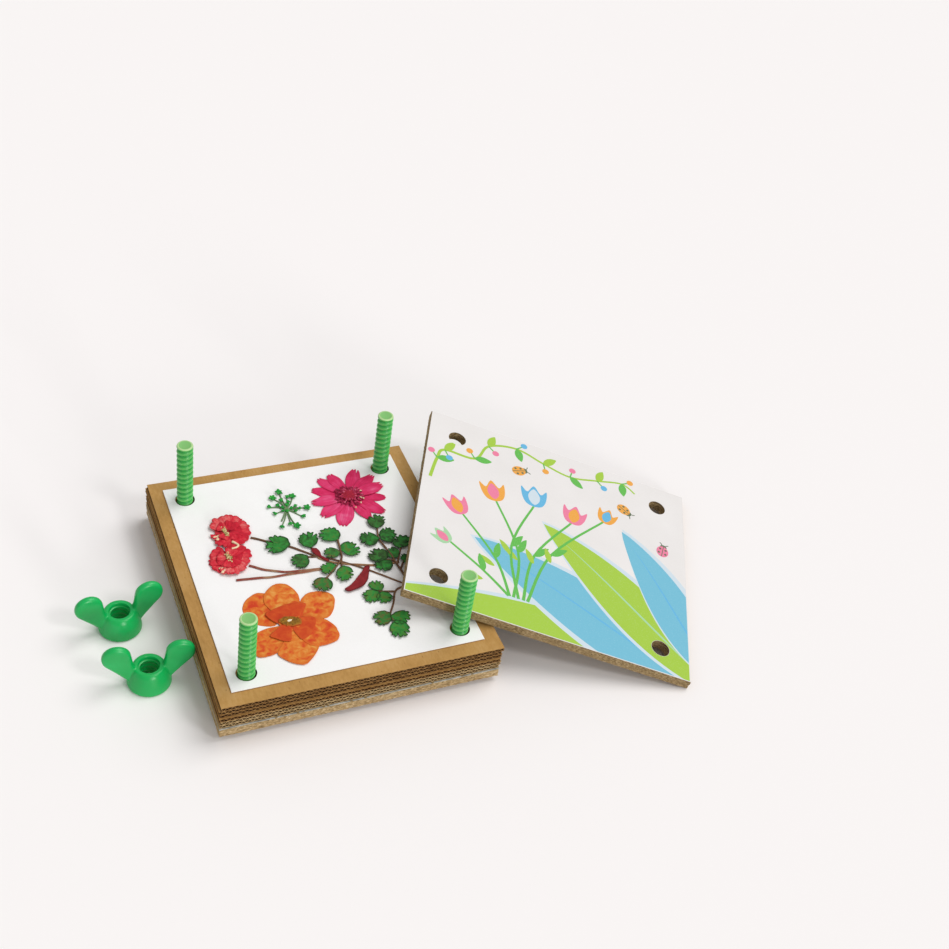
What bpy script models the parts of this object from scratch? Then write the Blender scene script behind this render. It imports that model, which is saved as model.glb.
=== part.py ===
"""A flower press, opened: its cover board leans on the pressing stack.

Units are metres and +Z is up. The origin is the centre of the base board's
underside, +X runs along the front edge and +Y points to the back. Four bolts
stand up through the base board, the liner and the corrugated cards. Two of
the wing nuts lie at the left, and two under the raised end of the cover.
"""
import math

import bmesh
import bpy
from mathutils import Matrix, Vector

# Boards
BOARD_WIDTH = 0.120
BOARD_DEPTH = 0.132
BOARD_THICK = 0.0043
BOARD_EDGE = 0.0003
PRINT_THICK = 0.0002
PRINT_GAP = 0.0001

# Bolt holes, the same in every layer
HOLE_INSET = 0.0143
HOLE_DIA = 0.0086
HOLE_SIDES = 16

# Pressing stack
SEAT_GAP = 0.0003
LINER_THICK = 0.0005
CARD_THICK = 0.00185
CARD_SHIFTS = ((-0.0001, 0.0002), (0.0003, -0.0001), (-0.0002, -0.0003),
               (0.0002, 0.0002), (-0.0003, 0.0), (0.0004, -0.0003))
BLOTTER_THICK = 0.0004
BLOTTER_MARGIN = 0.0062

# Bolts
BOLT_TOP = 0.0505
BOLT_DIA = 0.0072
BOLT_ROOT_DIA = 0.0060
BOLT_CHAMFER = 0.0006
THREAD_PITCH = 0.0027
THREAD_LENGTH = 0.0355
BOLT_SIDES = 12
RINGS_PER_PITCH = 3
HEAD_DIA = 0.0140
HEAD_THICK = 0.0022

# Wing nuts
NUT_BASE_DIA = 0.0182
NUT_TOP_DIA = 0.0122
NUT_HEIGHT = 0.0098
NUT_BORE_CLEARANCE = 0.0003
NUT_MOUTH_DIA = 0.0087
NUT_MOUTH_DEPTH = 0.0018
NUT_EDGE = 0.0004
NUT_FLARE_SHARE = 0.14
NUT_BELLY_SHARE = 0.36
NUT_BELLY_IN_SHARE = 0.18
NUT_STEPS = 20
WING_REACH = 0.0186
WING_TOP = 0.0220
WING_LOBE_RADIUS = 0.0059
WING_THICK = 0.0034
WING_ROUND = 0.0009
WING_NECK_SHARE = 0.24
WING_ARC_START = math.radians(168)
WING_ARC_STOP = math.radians(-78)
WING_ARC_POINTS = 11
NUT_SPIN_GAP = 0.0006

# Loose nuts at the left: how far each turning circle is from its nearest place, y and turn
LEFT_NUTS = ((0.0, -0.0281, math.radians(-6)), (0.0053, 0.0038, math.radians(6)))

# Loose nuts under the cover, in a row across its slope: how far up the slope from the place
# where it leans, and each nut's turn from the slope
HIDDEN_ROW_RISE = 0.0214
HIDDEN_ROW_GAP = 0.0005
HIDDEN_NUT_SPACING = 0.0313
HIDDEN_NUT_TURNS = (0.0, math.radians(30))

# Cover board, turned about Z and leaning on the stack's right edge
COVER_TURN = math.radians(-26.3)
COVER_LEAN_REACH = 0.090
COVER_BOLT_GAP = 0.0005

# Pressed flowers on the blotter
PETAL_THICK = 0.0003
STEM_DIA = 0.0006
LEAF_THICK = 0.0003
FLOWER_GAP = 0.0001

# The flowers' layout on the blotter, in units that make the board 120 wide; lengths in the same
LAYOUT_UNIT = BOARD_WIDTH / 120
PINK_BLOOM = (26.0, 36.0)
PINK_PETALS = ((63, 19.1), (37, 18.9), (14, 17.9), (345, 16.8), (314, 18.4), (278, 17.6),
               (244, 19.6), (212, 18.6), (180, 17.6), (152, 17.2), (108, 16.6))
PINK_VALLEY = 0.40
PINK_PETAL_HALF_TURN = 13.5
PINK_SAMPLES = 90
ORANGE_BLOOM = (-21.2, -30.5)
ORANGE_PETALS = ((92, 20.3), (23, 22.2), (316, 21.3), (271, 23.0), (213, 21.0), (134, 21.6))
ORANGE_VALLEY = 0.50
ORANGE_PETAL_HALF_TURN = 27.0
ORANGE_SAMPLES = 60
RED_BLOOM_UPPER = (-31.7, 26.9)
RED_BLOOM_LOWER = (-36.7, 9.3)
RED_BLOOM_RADIUS = 8.4
RED_BLOOM_FRILLS = 13
UMBEL = (-3.9, 35.5)
UMBEL_RAYS = ((94, 10.2), (123, 8.7), (165, 7.2), (205, 6.2), (244, 12.5), (262, 10.0),
              (281, 12.8), (307, 8.6), (347, 9.1), (22, 5.4), (54, 7.5))

# Leaf sprigs: stems, then leaves as x, y, length and direction
LEFT_SPRIG_STEMS = (((-24.2, 21.0), (-17.6, 16.9), (-9.0, 11.4), (0.6, 2.8), (9.8, -2.6),
                     (17.3, -6.0), (22.0, -7.4)),
                    ((-0.7, 9.4), (1.8, 1.9)), ((-5.6, 4.2), (0.6, 2.8)))
LEFT_SPRIG_LEAVES = ((-9.3, 11.6, 10.4, 155), (-0.3, 8.2, 9.4, 92), (-3.5, 3.7, 8.4, 205))
MIDDLE_SPRIG_STEMS = (((11.9, 10.2), (10.9, 3.4), (9.9, -1.4), (4.1, -7.3), (-0.2, -11.0)),
                      ((9.9, -1.4), (8.3, -7.0)))
MIDDLE_SPRIG_LEAVES = ((11.8, 9.7, 9.0, 118), (10.8, 2.8, 7.2, 178), (10.8, 3.1, 8.4, 5),
                       (6.6, -4.8, 7.4, 190), (8.7, -5.6, 8.6, 268), (0.4, -10.5, 8.2, 232))
RIGHT_SPRIG_STEMS = (((33.0, -17.1), (32.3, -9.4), (31.2, -1.0), (29.8, 6.5), (31.3, 13.2)),
                     ((32.5, -10.4), (35.1, -5.1), (37.4, -1.0)),
                     ((32.2, -8.1), (28.0, -6.2)), ((32.7, -13.6), (35.9, -8.8)))
RIGHT_SPRIG_LEAVES = ((31.2, 12.6, 8.6, 78), (29.9, 6.7, 8.4, 172), (29.9, 6.1, 8.6, 18),
                      (36.9, -1.8, 8.2, 66), (28.9, -6.5, 8.4, 130), (29.9, -7.1, 7.6, 215),
                      (34.4, -6.5, 6.4, 118), (35.1, -10.0, 5.0, 46))
LOWER_SPRIG_STEMS = (((30.6, -23.2), (26.6, -24.7), (23.2, -31.5), (20.1, -37.0), (20.2, -41.4)),
                     ((26.1, -25.1), (20.6, -23.6), (19.0, -23.0)))
LOWER_SPRIG_LEAVES = ((20.4, -23.4, 6.4, 104), (19.4, -23.2, 8.0, 208), (20.8, -23.7, 6.8, 268),
                      (20.3, -37.0, 8.2, 196), (20.2, -37.4, 7.8, 322), (20.2, -41.0, 9.4, 278))
RED_STEM_UPPER = ((-28.0, 4.0), (-23.9, 0.7), (-16.5, -2.3), (-8.0, -3.7), (-2.6, -4.4))
RED_STEM_LOWER = ((-36.5, -2.9), (-25.0, -5.0), (-12.0, -5.9), (-3.4, -6.2))
DARK_LEAVES = (((6.1, -19.9), (20.6, -9.0)), ((-1.4, 7.6), (2.5, 1.4)))

CARD_COUNT = len(CARD_SHIFTS)
TABLE_Z = -(SEAT_GAP + HEAD_THICK)
HOLE_X = BOARD_WIDTH / 2 - HOLE_INSET
HOLE_Y = BOARD_DEPTH / 2 - HOLE_INSET
CORNERS = (("front_left", -1, -1), ("front_right", 1, -1), ("back_left", -1, 1), ("back_right", 1, 1))
LINER_Z = BOARD_THICK + SEAT_GAP
FIRST_CARD_Z = LINER_Z + LINER_THICK + SEAT_GAP
STACK_TOP = FIRST_CARD_Z + CARD_COUNT * (CARD_THICK + SEAT_GAP) - SEAT_GAP
BLOTTER_Z = STACK_TOP + SEAT_GAP
LOWER_LAYER_Z = BLOTTER_Z + BLOTTER_THICK + FLOWER_GAP
UPPER_LAYER_Z = LOWER_LAYER_Z + STEM_DIA + FLOWER_GAP


def clear_scene():
    for thing in list(bpy.data.objects):
        bpy.data.objects.remove(thing)


def collection(name):
    group = bpy.data.collections.new(name)
    bpy.context.scene.collection.children.link(group)
    return group


def material(name, colour, roughness):
    paint = bpy.data.materials.new(name)
    paint.use_nodes = True
    shader = paint.node_tree.nodes["Principled BSDF"]
    shader.inputs["Base Color"].default_value = (*colour, 1.0)
    shader.inputs["Roughness"].default_value = roughness
    shader.inputs["Metallic"].default_value = 0.0
    return paint


def baked(thing):
    """Return the evaluated mesh of an object, welded, and remove the object."""
    bpy.context.view_layer.update()
    graph = bpy.context.evaluated_depsgraph_get()
    mesh = bpy.data.meshes.new_from_object(thing.evaluated_get(graph))
    mesh.transform(thing.matrix_world)
    bpy.data.objects.remove(thing)
    shape = bmesh.new()
    shape.from_mesh(mesh)
    bmesh.ops.remove_doubles(shape, verts=shape.verts, dist=1e-6)
    edges = [edge for edge in shape.edges if edge.is_boundary]
    bmesh.ops.holes_fill(shape, edges=edges, sides=0)
    bmesh.ops.recalc_face_normals(shape, faces=shape.faces)
    shape.to_mesh(mesh)
    shape.free()
    return mesh


def linked(name, data, group=None):
    thing = bpy.data.objects.new(name, data)
    (group or bpy.context.scene.collection).objects.link(thing)
    return thing


def circle(x, y, radius, sides):
    turns = (2 * math.pi * i / sides for i in range(sides))
    return [(x + radius * math.cos(a), y + radius * math.sin(a)) for a in turns]


def rectangle(width, depth):
    x, y = width / 2, depth / 2
    return [(-x, -y), (x, -y), (x, y), (-x, y)]


def plate_mesh(name, outlines, thick):
    """Make a flat plate standing on z = 0; later outlines are holes in the first."""
    curve = bpy.data.curves.new(name, "CURVE")
    curve.dimensions = "2D"
    curve.fill_mode = "BOTH"
    curve.extrude = thick / 2
    for outline in outlines:
        spline = curve.splines.new("POLY")
        spline.points.add(len(outline) - 1)
        for point, (x, y) in zip(spline.points, outline):
            point.co = (x, y, 0.0, 1.0)
        spline.use_cyclic_u = True
    guide = linked(name, curve)
    guide.location.z = thick / 2
    return baked(guide)


def tube_mesh(name, points, diameter, bevel_resolution=0):
    curve = bpy.data.curves.new(name, "CURVE")
    curve.dimensions = "3D"
    curve.bevel_depth = diameter / 2
    curve.bevel_resolution = bevel_resolution
    curve.use_fill_caps = True
    spline = curve.splines.new("POLY")
    spline.points.add(len(points) - 1)
    for point, place in zip(spline.points, points):
        point.co = (*place, 1.0)
    return baked(linked(name, curve))


def turned_mesh(name, profile, steps, closed):
    """Turn a profile of (radius, height) points round Z."""
    mesh = bpy.data.meshes.new(name)
    count = len(profile)
    edges = [(i, (i + 1) % count) for i in range(count if closed else count - 1)]
    mesh.from_pydata([(r, 0.0, z) for r, z in profile], edges, [])
    guide = linked(name, mesh)
    screw = guide.modifiers.new("turn", "SCREW")
    screw.steps = steps
    screw.render_steps = steps
    screw.use_merge_vertices = True
    screw.merge_threshold = 1e-6
    return baked(guide)


def union_mesh(first, others, name):
    """Join closed meshes that overlap into one body."""
    body = linked(name, first)
    guides = [linked(name + "_join", mesh) for mesh in others]
    for guide in guides:
        join = body.modifiers.new("join", "BOOLEAN")
        join.operation = "UNION"
        join.object = guide
    mesh = baked(body)
    for guide in guides:
        bpy.data.objects.remove(guide)
    return mesh


def smooth(mesh):
    mesh.shade_smooth()
    mesh.set_sharp_from_angle(angle=math.radians(35))


def piece(group, name, mesh, paint, location=(0.0, 0.0, 0.0)):
    mesh.materials.clear()
    mesh.materials.append(paint)
    thing = linked(name, mesh, group)
    thing.location = location
    return thing


def hole_outlines(hole_x, hole_y):
    return [circle(side_x * hole_x, side_y * hole_y, HOLE_DIA / 2, HOLE_SIDES)
            for _, side_x, side_y in CORNERS]


def rounded(thing):
    bevel = thing.modifiers.new("edge", "BEVEL")
    bevel.width = BOARD_EDGE
    bevel.segments = 1
    bevel.limit_method = "ANGLE"
    bevel.angle_limit = math.radians(60)


def make_base_board(group, paint):
    outlines = [rectangle(BOARD_WIDTH, BOARD_DEPTH)] + hole_outlines(HOLE_X, HOLE_Y)
    rounded(piece(group, "base_board", plate_mesh("base_board", outlines, BOARD_THICK), paint))


def make_stack(group, paints):
    outlines = [rectangle(BOARD_WIDTH, BOARD_DEPTH)] + hole_outlines(HOLE_X, HOLE_Y)
    liner = plate_mesh("liner_sheet", outlines, LINER_THICK)
    piece(group, "liner_sheet", liner, paints["liner"], (0.0, 0.0, LINER_Z))
    for number, (shift_x, shift_y) in enumerate(CARD_SHIFTS):
        name = f"corrugated_card_{number + 1}"
        z = FIRST_CARD_Z + number * (CARD_THICK + SEAT_GAP)
        piece(group, name, plate_mesh(name, outlines, CARD_THICK), paints["kraft"], (shift_x, shift_y, z))
    width, depth = BOARD_WIDTH - 2 * BLOTTER_MARGIN, BOARD_DEPTH - 2 * BLOTTER_MARGIN
    outlines = [rectangle(width, depth)] + hole_outlines(HOLE_X, HOLE_Y)
    sheet = plate_mesh("blotting_sheet", outlines, BLOTTER_THICK)
    piece(group, "blotting_sheet", sheet, paints["blotter"], (0.0, 0.0, BLOTTER_Z))


def thread_ridge(angle, z, start, stop):
    """Return the thread's height, from 0 at its root to 1 at its crest."""
    wave = 0.5 + 0.5 * math.cos(2 * math.pi * z / THREAD_PITCH - angle)
    fade = min(1.0, (z - start) / THREAD_PITCH, (stop - z) / BOLT_CHAMFER)
    return wave * max(0.0, fade)


def bolt_mesh():
    root, crest, head = BOLT_ROOT_DIA / 2, BOLT_DIA / 2, HEAD_DIA / 2
    start, stop = BOLT_TOP - THREAD_LENGTH, BOLT_TOP - BOLT_CHAMFER
    rings = math.ceil((stop - start) / THREAD_PITCH * RINGS_PER_PITCH)
    profile = [(root - BOLT_CHAMFER / 2, BOLT_TOP)]
    profile += [(root, stop - (stop - start) * i / rings) for i in range(rings + 1)]
    profile += [(crest, start - (crest - root)), (crest, -SEAT_GAP), (head - BOLT_CHAMFER, -SEAT_GAP),
                (head, -SEAT_GAP - BOLT_CHAMFER), (head, TABLE_Z + BOLT_CHAMFER / 2),
                (head - BOLT_CHAMFER / 2, TABLE_Z)]
    mesh = turned_mesh("bolt", profile, BOLT_SIDES, closed=False)
    for vertex in mesh.vertices:
        x, y, z = vertex.co
        if start <= z <= stop + 1e-6:
            ridge = thread_ridge(math.atan2(y, x), z, start, stop + BOLT_CHAMFER)
            scale = (root + (crest - root) * ridge) / root
            vertex.co = (x * scale, y * scale, z)
    smooth(mesh)
    return mesh


def make_bolts(group, paint):
    mesh = bolt_mesh()
    for name, side_x, side_y in CORNERS:
        piece(group, f"bolt_{name}", mesh, paint, (side_x * HOLE_X, side_y * HOLE_Y, 0.0))


def nut_boss_mesh():
    base, top = NUT_BASE_DIA / 2, NUT_TOP_DIA / 2
    bore, mouth = (BOLT_DIA + NUT_BORE_CLEARANCE) / 2, NUT_MOUTH_DIA / 2
    edge, height = NUT_EDGE, NUT_HEIGHT
    belly = base - NUT_BELLY_IN_SHARE * (base - top)
    profile = [(top - edge, height), (top, height - edge), (belly, height * NUT_BELLY_SHARE),
               (base, height * NUT_FLARE_SHARE), (base, edge), (base - edge, 0.0), (bore + edge, 0.0),
               (bore, edge), (bore, height - NUT_MOUTH_DEPTH), (mouth, height - NUT_MOUTH_DEPTH),
               (mouth, height - edge), (mouth + edge, height)]
    return turned_mesh("nut_boss", profile, NUT_STEPS, closed=True)


def wing_mesh(side):
    """One paddle: a round lobe whose neck runs down into the boss wall."""
    centre_x, centre_z = WING_REACH - WING_LOBE_RADIUS, WING_TOP - WING_LOBE_RADIUS
    step = (WING_ARC_STOP - WING_ARC_START) / (WING_ARC_POINTS - 1)
    turns = [WING_ARC_START + step * i for i in range(WING_ARC_POINTS)]
    outline = [(centre_x + WING_LOBE_RADIUS * math.cos(a), centre_z + WING_LOBE_RADIUS * math.sin(a))
               for a in turns]
    wall, neck = (NUT_MOUTH_DIA + NUT_TOP_DIA) / 4, NUT_HEIGHT * WING_NECK_SHARE
    outline += [(NUT_BASE_DIA / 2 - NUT_EDGE, neck), (wall + NUT_EDGE, neck),
                (wall, NUT_HEIGHT - 3 * NUT_EDGE), (NUT_TOP_DIA / 2, NUT_HEIGHT + NUT_EDGE)]
    curve = bpy.data.curves.new("wing", "CURVE")
    curve.dimensions = "2D"
    curve.fill_mode = "BOTH"
    curve.extrude = WING_THICK / 2 - WING_ROUND
    curve.bevel_depth = WING_ROUND
    curve.bevel_resolution = 1
    curve.offset = -WING_ROUND
    spline = curve.splines.new("POLY")
    spline.points.add(len(outline) - 1)
    for point, (x, z) in zip(spline.points, outline):
        point.co = (x, z, 0.0, 1.0)
    spline.use_cyclic_u = True
    guide = linked("wing", curve)
    upright = Matrix.Rotation(math.pi / 2, 4, "X")
    guide.matrix_world = Matrix.Rotation(math.pi if side < 0 else 0.0, 4, "Z") @ upright
    return baked(guide)


def lean_contact():
    """Return where the cover's underside leans on the stack's right edge."""
    turn_cos, turn_sin = math.cos(COVER_TURN), math.sin(COVER_TURN)
    clear = BOLT_DIA / 2 + COVER_BOLT_GAP + (BOARD_WIDTH / 2 - HOLE_X) * turn_sin
    return Vector((BOARD_WIDTH / 2, -HOLE_Y + clear / turn_cos, STACK_TOP + SEAT_GAP))


def cover_frame():
    """Return the leaning cover's corner over the table and its three directions."""
    contact = lean_contact()
    lean = math.asin((contact.z - TABLE_Z) / COVER_LEAN_REACH)
    turn_cos, turn_sin = math.cos(COVER_TURN), math.sin(COVER_TURN)
    along = Vector((turn_cos * math.cos(lean), turn_sin * math.cos(lean), -math.sin(lean)))
    across = Vector((-turn_sin, turn_cos, 0.0))
    return contact + along * COVER_LEAN_REACH, along, across, along.cross(across)


def make_cover(group, board_paint, print_paint):
    corner, along, across, normal = cover_frame()
    centre = corner - along * BOARD_DEPTH / 2 + across * BOARD_WIDTH / 2
    turned = Matrix((along, across, normal)).transposed().to_4x4()
    outlines = [rectangle(BOARD_DEPTH, BOARD_WIDTH)] + hole_outlines(HOLE_Y, HOLE_X)
    board = piece(group, "cover_board", plate_mesh("cover_board", outlines, BOARD_THICK), board_paint)
    board.matrix_world = Matrix.Translation(centre) @ turned
    rounded(board)
    outlines[0] = rectangle(BOARD_DEPTH - 2 * BOARD_EDGE, BOARD_WIDTH - 2 * BOARD_EDGE)
    print_mesh = plate_mesh("cover_print_sheet", outlines, PRINT_THICK)
    sheet = piece(group, "cover_print_sheet", print_mesh, print_paint)
    sheet.matrix_world = Matrix.Translation(centre + normal * (BOARD_THICK + PRINT_GAP)) @ turned


def hidden_nut_places():
    """Return two places in a row across the cover's slope, the first one close to the stack."""
    down = Vector((math.cos(COVER_TURN), math.sin(COVER_TURN)))
    across = Vector((-down.y, down.x))
    row = lean_contact().xy - down * HIDDEN_ROW_RISE
    x = BOARD_WIDTH / 2 + WING_REACH + NUT_SPIN_GAP + HIDDEN_ROW_GAP
    first = row + across * (x - row.x) / across.x
    return first, first + across * HIDDEN_NUT_SPACING


def make_nuts(group, paint):
    mesh = union_mesh(nut_boss_mesh(), [wing_mesh(1), wing_mesh(-1)], "wing_nut")
    smooth(mesh)
    beside = BOARD_WIDTH / 2 + WING_REACH + NUT_SPIN_GAP
    places = [(-beside - away, y, turn) for away, y, turn in LEFT_NUTS]
    places += [(*place, COVER_TURN + turn) for place, turn in zip(hidden_nut_places(), HIDDEN_NUT_TURNS)]
    for number, (x, y, turn) in enumerate(places):
        nut = piece(group, f"wing_nut_{number + 1}", mesh, paint, (x, y, TABLE_Z))
        nut.rotation_euler.z = turn


def laid_out(points):
    return [(x * LAYOUT_UNIT, y * LAYOUT_UNIT) for x, y in points]


def bloom_outline(petals, centre, valley, half_width, samples):
    """Round petals on a heart, each with a direction in degrees and a length."""
    points = []
    for i in range(samples):
        angle = 360.0 * i / samples
        reach = 0.0
        for direction, length in petals:
            aside = abs((angle - direction + 180) % 360 - 180) / half_width
            share = valley + (1 - valley) * max(0.0, 1 - aside ** 3) ** 0.5
            reach = max(reach, length * share)
        turn = math.radians(angle)
        points.append((centre[0] + reach * math.cos(turn), centre[1] + reach * math.sin(turn)))
    return points


def frilled_outline(centre, radius, frills):
    points = []
    for i in range(frills * 3):
        angle = 2 * math.pi * i / (frills * 3)
        reach = radius * (1.0 - (0.09 if i % 3 == 0 else 0.0) + 0.05 * math.sin(3 * angle))
        points.append((centre[0] + reach * math.cos(angle), centre[1] + reach * math.sin(angle)))
    return points


def umbel_outline(centre, rays):
    """Thin rays that each end in a small star of florets."""
    points = []
    for direction, length in sorted(rays):
        angle = math.radians(direction)
        out = Vector((math.cos(angle), math.sin(angle)))
        aside = Vector((-out.y, out.x))
        for share, half in ((0.25, -0.35), (0.72, -0.35), (0.80, -1.3), (1.0, -0.8), (1.0, 0.8), (0.80, 1.3),
                            (0.72, 0.35), (0.25, 0.35)):
            points.append(tuple(Vector(centre) + out * length * share + aside * half))
    return points


def leaf_outline(x, y, length, direction):
    """A fan-shaped leaf on its stalk at (x, y), with seven round teeth."""
    turn = math.radians(direction)
    shape = ((0.0, -0.06), (0.22, -0.30), (0.52, -0.43), (0.62, -0.36), (0.82, -0.34), (0.84, -0.20),
             (0.97, -0.13), (0.93, 0.0), (0.97, 0.13), (0.84, 0.20), (0.82, 0.34), (0.62, 0.36),
             (0.52, 0.43), (0.22, 0.30), (0.0, 0.06))
    return [(x + length * (u * math.cos(turn) - v * math.sin(turn)),
             y + length * (u * math.sin(turn) + v * math.cos(turn))) for u, v in shape]


def sprig_mesh(name, stems, leaves, z):
    """Join stems and leaves that share one middle height into one body."""
    middle = z + STEM_DIA / 2
    parts = [tube_mesh(name, [(*place, middle) for place in laid_out(stem)], STEM_DIA) for stem in stems]
    for leaf in leaves:
        mesh = plate_mesh(name, [laid_out(leaf_outline(*leaf))], LEAF_THICK)
        mesh.transform(Matrix.Translation((0.0, 0.0, middle - LEAF_THICK / 2)))
        parts.append(mesh)
    return union_mesh(parts[0], parts[1:], name)


def dark_leaf_outline(start, stop):
    a, b = Vector(start), Vector(stop)
    along = b - a
    aside = Vector((-along.y, along.x)) * 0.13
    return [tuple(a + along * share + aside * half) for share, half in
            ((0.0, 0.0), (0.3, -0.9), (0.65, -1.0), (1.0, -0.2), (1.0, 0.3), (0.6, 0.8), (0.25, 0.7))]


def make_flowers(group, paints):
    def flat(name, outline, z, paint, thick=PETAL_THICK):
        piece(group, name, plate_mesh(name, [laid_out(outline)], thick), paints[paint], (0.0, 0.0, z))

    pink = bloom_outline(PINK_PETALS, PINK_BLOOM, PINK_VALLEY, PINK_PETAL_HALF_TURN, PINK_SAMPLES)
    flat("pink_flower", pink, LOWER_LAYER_Z, "pink")
    orange = bloom_outline(ORANGE_PETALS, ORANGE_BLOOM, ORANGE_VALLEY, ORANGE_PETAL_HALF_TURN, ORANGE_SAMPLES)
    flat("orange_flower", orange, LOWER_LAYER_Z, "orange")
    for name, centre in (("red_flower_upper", RED_BLOOM_UPPER), ("red_flower_lower", RED_BLOOM_LOWER)):
        flat(name, frilled_outline(centre, RED_BLOOM_RADIUS, RED_BLOOM_FRILLS), LOWER_LAYER_Z, "red")
    flat("green_umbel", umbel_outline(UMBEL, UMBEL_RAYS), LOWER_LAYER_Z, "leaf")
    sprigs = (("leaf_sprig_left", LEFT_SPRIG_STEMS, LEFT_SPRIG_LEAVES, LOWER_LAYER_Z),
              ("leaf_sprig_middle", MIDDLE_SPRIG_STEMS, MIDDLE_SPRIG_LEAVES, UPPER_LAYER_Z),
              ("leaf_sprig_right", RIGHT_SPRIG_STEMS, RIGHT_SPRIG_LEAVES, UPPER_LAYER_Z),
              ("leaf_sprig_lower", LOWER_SPRIG_STEMS, LOWER_SPRIG_LEAVES, LOWER_LAYER_Z))
    for name, stems, leaves, z in sprigs:
        piece(group, name, sprig_mesh(name, stems, leaves, z), paints["leaf"])
    for name, stem in (("flower_stem_upper", RED_STEM_UPPER), ("flower_stem_lower", RED_STEM_LOWER)):
        points = [(*place, LOWER_LAYER_Z + STEM_DIA / 2) for place in laid_out(stem)]
        piece(group, name, tube_mesh(name, points, STEM_DIA), paints["stem"])
    for number, (start, stop) in enumerate(DARK_LEAVES):
        flat(f"dark_leaf_{number + 1}", dark_leaf_outline(start, stop), UPPER_LAYER_Z, "dark_leaf")


def build():
    clear_scene()
    group = collection("Flower press")
    green = material("green_plastic", (0.03, 0.42, 0.10), 0.35)
    board = material("particle_board", (0.42, 0.34, 0.20), 0.85)
    paints = {"liner": material("grey_paper", (0.62, 0.62, 0.58), 0.9),
              "kraft": material("kraft_card", (0.58, 0.33, 0.10), 0.85),
              "blotter": material("white_paper", (0.88, 0.88, 0.86), 0.9),
              "pink": material("pink_petal", (0.70, 0.03, 0.12), 0.8),
              "orange": material("orange_petal", (0.80, 0.16, 0.01), 0.8),
              "red": material("red_petal", (0.65, 0.01, 0.02), 0.8),
              "leaf": material("green_leaf", (0.03, 0.16, 0.03), 0.8),
              "stem": material("brown_stem", (0.16, 0.06, 0.03), 0.8),
              "dark_leaf": material("dark_red_leaf", (0.15, 0.01, 0.01), 0.8)}
    make_base_board(group, board)
    make_bolts(group, green)
    make_stack(group, paints)
    make_flowers(group, paints)
    make_cover(group, board, material("printed_paper", (0.83, 0.80, 0.77), 0.7))
    make_nuts(group, green)


build()
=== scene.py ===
"""Looks of an opened flower press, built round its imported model.

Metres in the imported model's frame: the origin is the centre of the base board's
underside, +X runs along the front edge, +Y to the back and +Z is up. Boards,
sheets, bolts and nuts take their sizes and places from the frame's nodes. The
pressed flowers are laid out in millimetres on the blotter, and the cover's print
in millimetres from the middle of the cover.
"""
import math
import random

import bmesh
import bpy
from mathutils import Matrix, Vector, noise


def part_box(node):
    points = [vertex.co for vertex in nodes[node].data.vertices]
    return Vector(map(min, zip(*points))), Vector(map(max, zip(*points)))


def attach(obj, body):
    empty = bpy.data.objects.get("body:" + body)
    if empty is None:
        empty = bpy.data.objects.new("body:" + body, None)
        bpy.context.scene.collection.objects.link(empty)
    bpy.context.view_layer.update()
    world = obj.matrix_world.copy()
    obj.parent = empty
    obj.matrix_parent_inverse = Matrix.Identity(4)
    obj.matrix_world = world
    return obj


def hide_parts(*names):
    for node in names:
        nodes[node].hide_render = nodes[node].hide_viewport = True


MM = 0.001
TAU = 2 * math.pi

# The photograph's camera, fitted to the corners of the press
CAMERA_AIM = (0.09811, 0.05596, 0.0)
CAMERA_AWAY = 0.70447
CAMERA_AZIMUTH = math.radians(-28.47)
CAMERA_RISE = math.radians(41.04)
CAMERA_ROLL = math.radians(10.10)
CAMERA_LENS = 54.585
CAMERA_SENSOR = 36.0

# Boards and sheets, in metres
BOARD_EDGE_ROUND = 0.0003
BOARD_EDGE_WEAR = 0.00028
BOARD_LAYERS = 6
CARD_LINER_THICK = 0.00026
CARD_MEDIUM_THICK = 0.00026
CARD_EDGE_ROUND = 0.00006
CARD_COUNT = 6
PALE_CARDS = 2
FLUTE_PITCH = 0.0027
FLUTE_STEPS = 12
SHEET_EDGE_ROUND = 0.00008
SHEET_EDGE_WEAR = 0.00012
HOLE_RADIUS = 0.0043
HOLE_SIDES = 48
EDGE_STEP = 0.0008

# Threads and nuts, in metres
THREAD_PITCH = 0.0027
THREAD_LENGTH = 0.0355
THREAD_ROWS = 14
BOLT_CREST = 0.0036
BOLT_ROOT = 0.00285
BOLT_COLLAR = 0.0010
BOLT_HEAD = 0.0070
BOLT_HEAD_TOP = -0.0003
BOLT_SIDES = 56
NUT_FOOT = 0.0091
NUT_TOP = 0.0061
NUT_HEIGHT = 0.0098
NUT_SIDES = 72
NUT_BORE = 0.00375
NUT_THREAD_DEEP = 0.0003
NUT_MOUTH = 0.00435
NUT_MOUTH_DEEP = 0.0018
BORE_STEPS = 48
BORE_SIDES = 64
WING_REACH = 0.0186
WING_TOP = 0.0220
WING_LOBE = 0.0059
WING_HALF_THICK = 0.0018
WING_FOOT_SWELL = 0.0007
WING_SWELL_HEIGHT = 0.011
# How full a wing's outline is at shares of half its thickness, from one face to the other
WING_LAYERS = ((0.66, -1.0), (0.86, -0.9), (0.97, -0.6), (1.0, 0.0), (0.97, 0.6), (0.86, 0.9), (0.66, 1.0))
NUT_VOXEL = 0.00028

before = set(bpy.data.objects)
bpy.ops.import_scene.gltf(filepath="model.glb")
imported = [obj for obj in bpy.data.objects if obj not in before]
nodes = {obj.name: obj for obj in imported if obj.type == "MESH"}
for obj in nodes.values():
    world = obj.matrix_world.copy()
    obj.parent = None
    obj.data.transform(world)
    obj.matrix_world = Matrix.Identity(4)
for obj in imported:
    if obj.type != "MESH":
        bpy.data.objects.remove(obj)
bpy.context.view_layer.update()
CORNERS = ("front_left", "front_right", "back_left", "back_right")


def middle(node):
    low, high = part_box(node)
    return (low + high) / 2


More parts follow.
